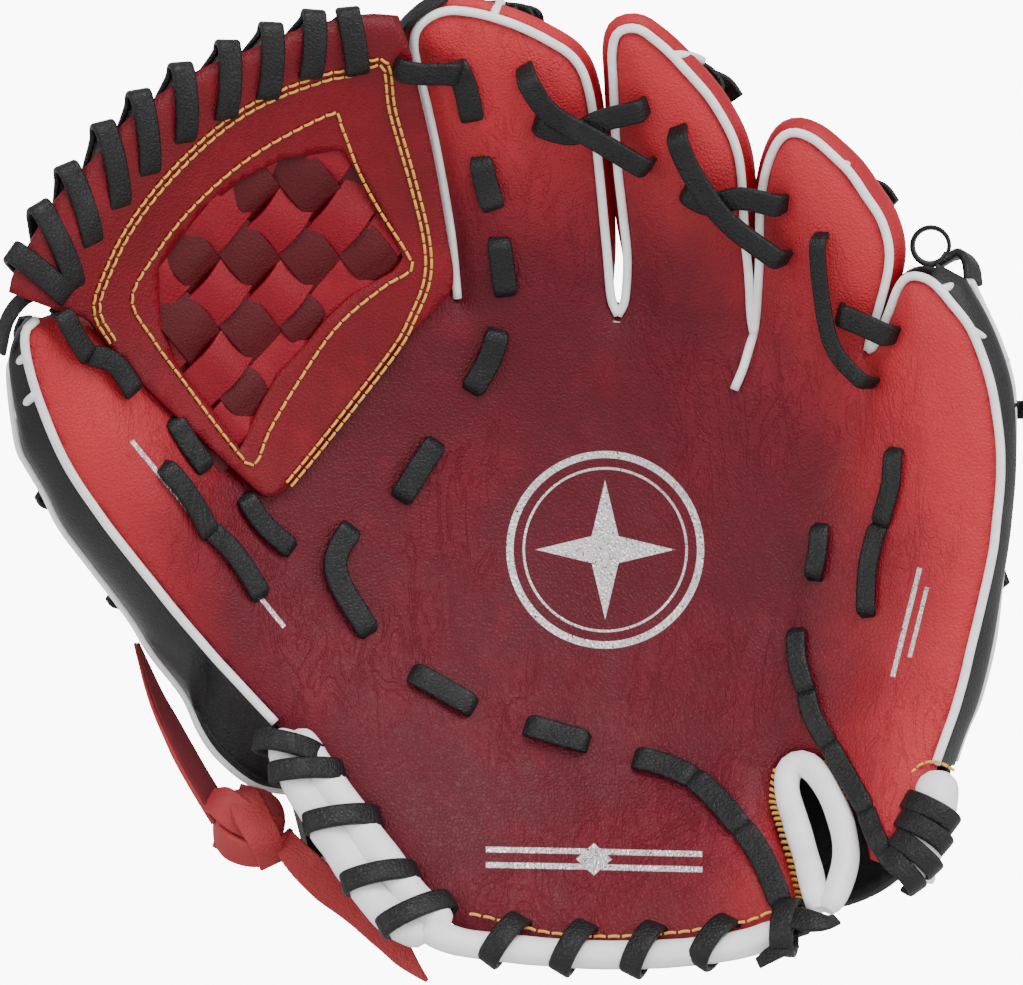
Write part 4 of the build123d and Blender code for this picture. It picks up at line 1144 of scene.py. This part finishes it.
# ------------------------------------------------------------------ heel binding
# The bottom edge is bound in a thick white leather roll, doubled up the thumb side. The
# binding is sewn with yellow thread and held by a lace spiralled round it.
binding_leather = finish_material("white_binding_leather", lambda place: {
    "Base Color": place.noise(60.0, 4.0).between(0.42, 0.7).mix((0.95, 0.95, 0.97, 1), (0.84, 0.83, 0.85, 1)),
    "Roughness": place.noise(500.0, 2.0) * 0.2 + 0.36, "Coat Weight": 0.15, "Coat Roughness": 0.4,
    "Height": (0.00022, place.noise(900.0, 3.0) * 0.5
               + place.stretched((1, 1, 0.5)).noise(120.0, 4.0, 0.6, 1.2))})
HEEL_ROLL = curve([(-40, -12), (-32, -15.2), (-25, -16.6), (-8.8, -18.3), (7.5, -19), (25, -18.3), (40, -16),
                   (50, -12.4)])
OUTER_ROLL = curve([(-73, 36.8), (-72, 30), (-68.2, 21.6), (-60.2, 8.9), (-52.2, -2.9), (-45.2, -10.2),
                    (-37, -14.8)])
INNER_ROLL = curve([(-69.8, 36.4), (-67.6, 30.6), (-62.2, 22.4), (-53.2, 10.2), (-45.2, -0.4), (-39.8, -6.6),
                    (-32.5, -13)])


def roll_line(flat, rise, swell=0.05, pinch=1.0):
    """A binding roll that narrows at its ends and varies a little along its length."""
    along = np.linspace(0, 1, len(flat))
    ends = np.minimum(along, 1 - along) * len(flat) * 1.5
    width = 1 - 0.88 * pinch * np.exp(-ends / 1.3)
    width = width + swell * np.array([noise.noise(Vector((x * 0.13, z * 0.13, 1.1))) for x, z in flat])
    return on_front(flat, rise, width)


def stuffed(name, lines, width, thickness, corner):
    return grow(name, STRAP, lines, Width=width * MM, Thickness=thickness * MM, Corner=corner * MM,
                Material=binding_leather)


roll = stuffed("heel_roll", [roll_line(HEEL_ROLL, -3.2)], 7.2, 6.4, 3.0)
for piece in bend_halves(roll):
    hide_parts(*(["heel_binding"] if "pinky" in piece.name else []))
side_roll = stuffed("thumb_heel_rolls", [roll_line(OUTER_ROLL, -4.2, 0.15),
                                         roll_line(INNER_ROLL, -2.4, 0.15)], 8.8, 7.2, 3.4)
bend_with(side_roll, "thumb")
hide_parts("thumb_heel_binding")

# Lace wrapped round the rolls: where it crosses, its reach, its lean in degrees and its rise.
ON_THUMB_ROLLS = 5
HEEL_WRAPS = [((-72.2, 31), 8.4, -12, 0.6), ((-67.6, 25), 9.2, 4, 0.6), ((-58.8, 13.2), 9.4, 8, 0.6),
              ((-49.4, -0.8), 9.4, 12, 0.6), ((-40.4, -9.6), 9.8, 24, 0.6), ((-18.6, -15.6), 7.2, 54, 0.2),
              ((-1.6, -17.4), 7.0, 60, 0.2), ((15.6, -17.7), 7.0, 62, 0.2), ((33, -15.9), 7.0, 54, 0.2)]


def round_wrap(centre, reach, lean, rise, deep=4.8, thick_up=4.2):
    """A lace taken once round a roll: over the front, and back behind it."""
    c, s = cos(radians(lean)), sin(radians(lean))
    middle = dish(*centre, rise - 3.0)
    out = facing(np.array([centre], float))[0]
    first = dish(centre[0] + c, centre[1] + s, rise - 3.0) - middle
    first /= np.linalg.norm(first)
    across = np.cross(out, first)
    route = []
    for a in np.linspace(-268, 88, 21):
        t = radians(a)
        height = sin(-t) * (thick_up if sin(-t) > 0 else deep)
        route.append(middle + first * cos(t) * reach * -1.0 + out * height + across * (a + 90) / 180.0 * 1.6)
    line = smooth_places(route)
    return line, ups_from(line, middle), 1.0


heel_laces = lace("heel_lace_wraps", [round_wrap(*wrap) for wrap in HEEL_WRAPS[ON_THUMB_ROLLS:]], wide=6.0)
for piece in bend_halves(heel_laces):
    if "pinky" in piece.name:
        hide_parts("heel_lace")
side_laces = lace("thumb_heel_lace_wraps", [round_wrap(*wrap) for wrap in HEEL_WRAPS[:ON_THUMB_ROLLS]],
                  wide=5.8)
bend_with(side_laces, "thumb")
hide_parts("thumb_heel_lace")

HEEL_SEAM = curve([(-26, -10.2), (-8.8, -14.2), (7.5, -15.4), (23.8, -14.4), (40, -12), (46, -10)])
heel_seam = grow("heel_stitching", STITCHES, [on_front(HEEL_SEAM, front_rise(HEEL_SEAM) + 1.1)],
                 Spacing=0.0034, Length=0.0027, Thread=0.0008, Material=thread)
bend_halves(heel_seam)

# ------------------------------------------------------------------ notch binding
# A teardrop slit between palm and little finger is bound with the same white roll, its
# edge whipped with close yellow stitches.
NOTCH_ROLL = curve([(58.6, -8.6), (56.4, 2), (53.6, 12), (51.4, 20), (52, 25.4), (55.8, 27), (60, 23),
                    (64.2, 14), (65.6, 5), (63.6, -3), (60.6, -8.6)])
notch = stuffed("notch_roll", [roll_line(NOTCH_ROLL, -1.6, 0.1, 0.5)], 6.6, 6.0, 2.8)
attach(notch, "palm")
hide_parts("notch_binding", "pinky_notch_binding")
whip = curve([(54.6, -8), (52.8, 1), (50.2, 11), (47.6, 19.6), (48.6, 27)])
whip_right = curve([(59.6, 28), (63.4, 24), (66.6, 18.4)])
ladder = []
for line in (whip, whip_right):
    for k in range(0, len(line) - 1):
        a = line[k]
        lean = (line[min(k + 1, len(line) - 1)] - line[k - 1 if k else 0])
        lean /= np.linalg.norm(lean)
        out = np.array((-lean[1], lean[0]))
        ladder.append(on_front([a - out * 1.2 - lean * 0.3, a, a + out * 1.2 + lean * 0.7],
                               front_rise(np.array([a]))[0] + np.array((0.2, 1.4, 0.4))))
whipping = grow("notch_stitching", STRAP, ladder, Width=0.0009, Thickness=0.0008, Corner=0.0003,
                Material=thread)
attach(whipping, "palm")

# The far corner of the heel, under the little finger, is one fat roll wrapped four times.
PINKY_ROLL = curve([(87.6, 25.6), (86.8, 20), (85.4, 13), (82.4, 6.4), (78, 1)])
pinky_roll = stuffed("pinky_heel_roll", [roll_line(PINKY_ROLL, -3.6, 0.05, 0.5)], 11.0, 9.5, 4.4)
PINKY_WRAPS = [((85.6, 16.2), 7.4, -18, 0.0), ((84, 11.4), 7.4, -22, 0.2), ((82, 6.2), 7.2, -32, 0.2),
               ((78.8, 2.2), 6.2, -40, 0.0)]
pinky_wraps = lace("pinky_heel_lace_wraps",
                   [round_wrap(*wrap, deep=5.4, thick_up=5.2) for wrap in PINKY_WRAPS], wide=5.4, thick=1.6)


def flat_lace(places, widths):
    """A short free length of lace lying flat over the heel, through points given as x, z, rise."""
    line = smooth_places([dish(*place) for place in places])
    width = np.interp(np.linspace(0, 1, len(line)), np.linspace(0, 1, len(widths)), widths)
    return line, facing(line[:, [0, 2]]), width


corner_wraps = lace("heel_corner_lace", [
    round_wrap((50.8, -12.4), 7.0, 84, 0.8),
    flat_lace([(51.6, -11.4, 0.4), (54.6, -12.4, 2.0), (58, -13.2, 2.2), (61.2, -12.8, 1.2),
               (63.4, -11.2, -0.6)], [0.85, 1.0, 1.0, 0.8, 0.6]),
    flat_lace([(52.4, -15.8, -2.6), (49.6, -18, -1.4), (46.4, -19.6, -1.6), (43.4, -21, -2.6)],
              [0.7, 0.8, 0.75, 0.55])],
    thick=1.8)
cap_stitches = grow("pinky_heel_stitching", STITCHES,
                    [on_front(curve([(82.2, 25.4), (84.6, 27.4), (88.4, 27.8), (91.6, 26.2)]), -1.6)],
                    Spacing=0.0022, Length=0.0018, Thread=0.0008, Material=thread)
for piece, slot, nodes in ((pinky_roll, "white_binding", ["pinky_heel_binding"]),
                           (pinky_wraps, "black_lace", ["pinky_heel_lace"]),
                           (cap_stitches, "white_binding", [])):
    bend_with(piece, "pinky")
    if nodes:
        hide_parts(*nodes)
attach(corner_wraps, "palm")

# ------------------------------------------------------------------ wrist band
# A padded black strap closes the back of the wrist, bound in white along both edges.
BAND_PATH = np.array([(x, 17.5 - 5.0 * (x / 80.0)**2) for x in np.arange(-70, 88, 2.0)])


def on_back(flat, rise, width=1.0):
    flat = np.asarray(flat, float)
    out = back(flat[:, 0], flat[:, 1], 1.0) - back(flat[:, 0], flat[:, 1], 0.0)
    return back(flat[:, 0], flat[:, 1], rise), out, width


BAND_WIDE = 24.0
BAND_RISE = 3.4
band = grow("wrist_band_leather", STRAP, [on_back(BAND_PATH, BAND_RISE)], Width=BAND_WIDE * MM,
            Thickness=0.0034, Corner=0.0014, Material=black_leather)
edging = grow("wrist_band_edging", STRAP, [on_back(BAND_PATH + (0, side * BAND_WIDE / 2), BAND_RISE)
                                           for side in (1, -1)],
              Width=0.0030, Thickness=0.0042, Corner=0.0014, Material=piping_leather)
for piece in bend_halves(band):
    if "pinky" in piece.name:
        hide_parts("wrist_band")
for piece in bend_halves(edging):
    if "pinky" in piece.name:
        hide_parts("wrist_binding")

# ------------------------------------------------------------------ wrist strap, knot and tail
# A pull strap of suede-backed red leather runs down the outside of the thumb, is tied in
# a flat knot, and its spare end hangs free below.
strap_leather = finish_material("red_strap_leather", leather_look(
    (0.38, 0.040, 0.042, 1), (0.30, 0.024, 0.028, 1), (0.44, 0.070, 0.066, 1), 0.0003,
    rough=0.60, creases=0.3, coat=0.0))
suede = finish_material("strap_suede", lambda place: {
    "Base Color": place.noise(400.0, 5.0, 0.8).mix((0.10, 0.004, 0.010, 1), (0.20, 0.012, 0.022, 1)),
    "Roughness": 0.9, "Height": (0.0003, place.noise(1500.0, 4.0, 0.8))})
STRAP_LINE = [(-112, 3, 56.5), (-110.4, 3.5, 52), (-107, 4, 43), (-102.6, 4, 34), (-98.4, 3, 26),
              (-94, 2, 18.5), (-90, 1, 12)]


def free_strap(name, lines, wide, thick, material, up):
    """Straps through free points in mm, each with its widths along the way."""
    made = []
    for route, widths in lines:
        line = smooth_places(route)
        width = np.interp(np.linspace(0, 1, len(line)), np.linspace(0, 1, len(widths)), widths)
        made.append((line, np.broadcast_to(up, line.shape) if np.ndim(up) == 1 else up(line), width))
    return grow(name, STRAP, made, Width=wide * MM, Thickness=thick * MM, Corner=thick * 0.3 * MM,
                Material=material)


STRAP_UP = (-0.80, 0.57, -0.15)
strap_face = free_strap("strap_face", [(STRAP_LINE, [0.14, 0.5, 0.8, 1, 1, 1])], 8.6, 1.3, strap_leather,
                        STRAP_UP)
strap_back = free_strap("strap_suede_side",
                        [(np.array(STRAP_LINE) + (0.85, -0.62, 0.1), [0.12, 0.45, 0.75, 0.95, 1, 1])],
                        8.0, 0.9, suede, STRAP_UP)
KNOT = [
    ([(-91, 2, 16.5), (-90.6, -3, 9), (-88, -6.6, 5.4), (-82, -8, 3.6), (-76, -7, 4.6), (-73, -3, 7)],
     [0.85, 1, 1, 1, 0.9]),
    ([(-93, -1, 17), (-90, -5.6, 16.6), (-85, -7.6, 12.8), (-79.6, -8.2, 10.4), (-75.6, -5.4, 9.6)],
     [0.8, 1.05, 1.1, 1, 0.8]),
    ([(-86, 3, 19), (-84.6, -4.6, 18), (-81.6, -9.4, 12), (-78.4, -9.6, 6), (-77.4, -5, 1)],
     [0.8, 1.0, 1.15, 1.0, 0.8]),
    ([(-91.6, 5, 8), (-85, 6.5, 5), (-78, 6, 9), (-78, 4, 16), (-86, 4, 19)], [0.9, 1, 1, 1, 0.9]),
]
knot = free_strap("strap_knot_leather", KNOT, 8.2, 1.7, strap_leather,
                  lambda line: ups_from(line, (-83.5, 0.0, 10.8)))
TAIL = [([(-74.5, -6.4, 7), (-70, -8.6, 2), (-63.5, -9, -4.2), (-56, -9, -9.8), (-48.6, -9, -17),
          (-42.4, -9, -24), (-38.2, -9, -28.2)], [0.75, 0.95, 1.0, 0.98, 0.88, 0.66, 0.12])]
tail = free_strap("strap_tail_leather", TAIL, 8.8, 1.9, strap_leather, (0.05, -1.0, 0.0))
for piece, body, node in ((strap_face, "thumb", "wrist_strap"), (strap_back, "thumb", None),
                          (knot, "thumb", "strap_knot"), (tail, "tail", "strap_tail")):
    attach(piece, body)
    if node:
        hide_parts(node)

# ------------------------------------------------------------------ lace ends
# The laces finish behind the stalls in small knots with cut ends and loops.
def lace_knot(x, z, rise, turn, size=1.0):
    """A half knot of flat lace with one cut end standing out."""
    middle = back(x, z, rise)
    out = (back(x, z, rise + 1) - middle)
    c, s = cos(radians(turn)), sin(radians(turn))
    side = np.array((c, 0.0, s)) - out * np.dot(out, (c, 0.0, s))
    side /= np.linalg.norm(side)
    other = np.cross(out, side)
    hoop = [middle + side * cos(t) * 4.2 * size + out * sin(t) * 3.4 * size + other * t * 0.5
            for t in np.linspace(-2.6, 3.2, 12)]
    end = [middle - side * 2 * size, middle + out * 3.0 * size + other * 1.5,
           middle + side * 5.5 * size + out * 4.2 * size,
           middle + side * 9.5 * size + out * 3.0 * size]
    made = []
    for route in (hoop, end):
        line = smooth_places(route)
        made.append((line, ups_from(line, middle - out), 0.85))
    return made


def free_lace(places, ups_about, width=0.85):
    line = smooth_places(places)
    return line, ups_from(line, ups_about), width


ring_middle = back(86.6, 155.2, 3.0)
ring = [ring_middle + (4.6 * cos(t), 0.3 * t, 4.6 * sin(t)) for t in np.linspace(-0.6, 5.9, 15)]
LOOPS = {
    "palm": [free_lace([dish(-46, 202, -6), dish(-43.5, 207.4, -5.4), dish(-38.6, 211.6, -6),
                        dish(-33, 213.6, -8)], dish(-36, 204, -6))],
    "thumb": [free_lace([dish(-130, 143, -5), dish(-135, 141.5, -5), dish(-137.8, 136, -7),
                         dish(-138, 128, -10)], dish(-128, 134, -8))],
    "pinky": [free_lace(ring, ring_middle, 0.6),
              free_lace([back(89, 151, 1.0), back(92.4, 152.4, 5.0), back(95.6, 150.4, 4.0),
                         back(98, 147, 1.0)], back(92, 146, 0.0), 1.25)],
}

KNOTS = {
    "palm": ("finger_knots", [(-14, 211, 1.5, 160, 1.0), (-41, 205, 0.5, 60, 0.9), (31, 197, 1.5, -55, 1.1),
                              (-18, 150, 2.5, 20, 1.0), (24, 146, 2.5, -20, 1.0)]),
    "thumb": ("thumb_knots", [(-136, 128, 1.5, 100, 1.0), (-128, 90, 2.0, 150, 0.8),
                              (-112, 66, 2.0, 150, 0.6)]),
    "pinky": ("pinky_knots", [(106, 116, 0.5, -10, 0.8), (98, 70, 2.0, 20, 0.9),
                              (70, 171, 1.0, -40, 1.0), (52, 142, 2.5, 10, 1.0)]),
}
for side, (node, places) in KNOTS.items():
    pieces_of_lace = LOOPS[side] + [part for place in places for part in lace_knot(*place)]
    piece = lace(side + "_lace_ends", pieces_of_lace, wide=5.6)
    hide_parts(node)
    if side == "palm":
        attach(piece, "palm")
    else:
        bend_with(piece, side)

# ------------------------------------------------------------------ stitching on the back
# The knuckle seam and both side seams of the back are top-stitched in yellow.
BACK_SEAMS = [curve([(-36, 142.6), (-20, 145.4), (-4, 143.4), (10, 139.6), (26, 137.6), (42, 133.6),
                     (56, 129.8), (67, 128)]),
              curve([(-44, 36), (-50, 60), (-62, 84), (-76, 98)]),
              curve([(54, 36), (58, 66), (66, 100), (72, 126)]),
              OPEN_BACK]
back_stitches = grow("back_stitching", STITCHES, [
    on_back(line if number < 3 else np.array((3.0, 46.0)) + (line - (3.0, 46.0)) * (1.07, 1.16), 1.9)
    for number, line in enumerate(BACK_SEAMS)], Spacing=0.0034, Length=0.0026, Thread=0.0008, Material=thread)
bend_halves(back_stitches)

# ------------------------------------------------------------------ camera, light and floor
# A plain pale round floor, a white studio behind, soft light from above and both sides,
# and a long lens square on to the palm.
CAMERA_AWAY = 3.0
FRAME_WIDTH = 0.2558
camera_data = bpy.data.cameras.new("camera")
camera_data.sensor_width = 36.0
camera_data.lens = 36.0 * CAMERA_AWAY / FRAME_WIDTH
camera_data.clip_end = 20.0
camera = bpy.data.objects.new("camera", camera_data)
camera.location = (-0.0171, -0.02 - CAMERA_AWAY, 0.0944)
camera.rotation_euler = (radians(90), 0, 0)
bpy.context.scene.collection.objects.link(camera)
bpy.context.scene.camera = camera

FLOOR_DROP = 0.045
floor_shape = bmesh.new()
bmesh.ops.create_circle(floor_shape, cap_ends=True, segments=96, radius=0.28)
floor_mesh = bpy.data.meshes.new("studio_floor")
bmesh.ops.translate(floor_shape, verts=floor_shape.verts, vec=(0, 0, -FLOOR_DROP))
floor_shape.to_mesh(floor_mesh)
floor_shape.free()
floor = bpy.data.objects.new("studio_floor", floor_mesh)
bpy.context.scene.collection.objects.link(floor)
floor.data.materials.append(finish_material("pale_floor", lambda place: {
    "Base Color": place.noise(3.0, 2.0).mix((0.86, 0.86, 0.86, 1), (0.88, 0.88, 0.88, 1)), "Roughness": 0.9}))


def soft_light(name, place, target, size, watts):
    data = bpy.data.lights.new(name, "AREA")
    data.shape = "RECTANGLE"
    data.size, data.size_y = size
    data.energy = watts
    lamp = bpy.data.objects.new(name, data)
    lamp.location = place
    lamp.rotation_euler = (Vector(target) - Vector(place)).to_track_quat("-Z", "Y").to_euler()
    bpy.context.scene.collection.objects.link(lamp)


soft_light("key_above", (0.35, -0.85, 1.15), (0, 0, 0.09), (0.9, 0.7), 14.5)
soft_light("fill_left", (-1.1, -0.7, 0.35), (0, 0, 0.09), (0.6, 0.9), 5.2)
soft_light("fill_right", (1.1, -0.6, 0.25), (0, 0, 0.09), (0.5, 0.9), 5.2)
soft_light("front", (0.0, -1.9, 0.35), (0, 0, 0.09), (0.8, 0.8), 4.0)
STUDIO_LIGHT = 0.85
STUDIO_WHITE = 12.0                    # what the lens sees behind the glove
world = bpy.data.worlds.new("studio")
world.use_nodes = True
lit = world.node_tree.nodes["Background"]
lit.inputs["Color"].default_value = (1, 1, 1, 1)
lit.inputs["Strength"].default_value = STUDIO_LIGHT
seen = world.node_tree.nodes.new("ShaderNodeBackground")
seen.inputs["Strength"].default_value = STUDIO_WHITE
ray = world.node_tree.nodes.new("ShaderNodeLightPath")
either = world.node_tree.nodes.new("ShaderNodeMixShader")
world.node_tree.links.new(ray.outputs["Is Camera Ray"], either.inputs[0])
world.node_tree.links.new(lit.outputs[0], either.inputs[1])
world.node_tree.links.new(seen.outputs[0], either.inputs[2])
world.node_tree.links.new(either.outputs[0], world.node_tree.nodes["World Output"].inputs["Surface"])
bpy.context.scene.world = world
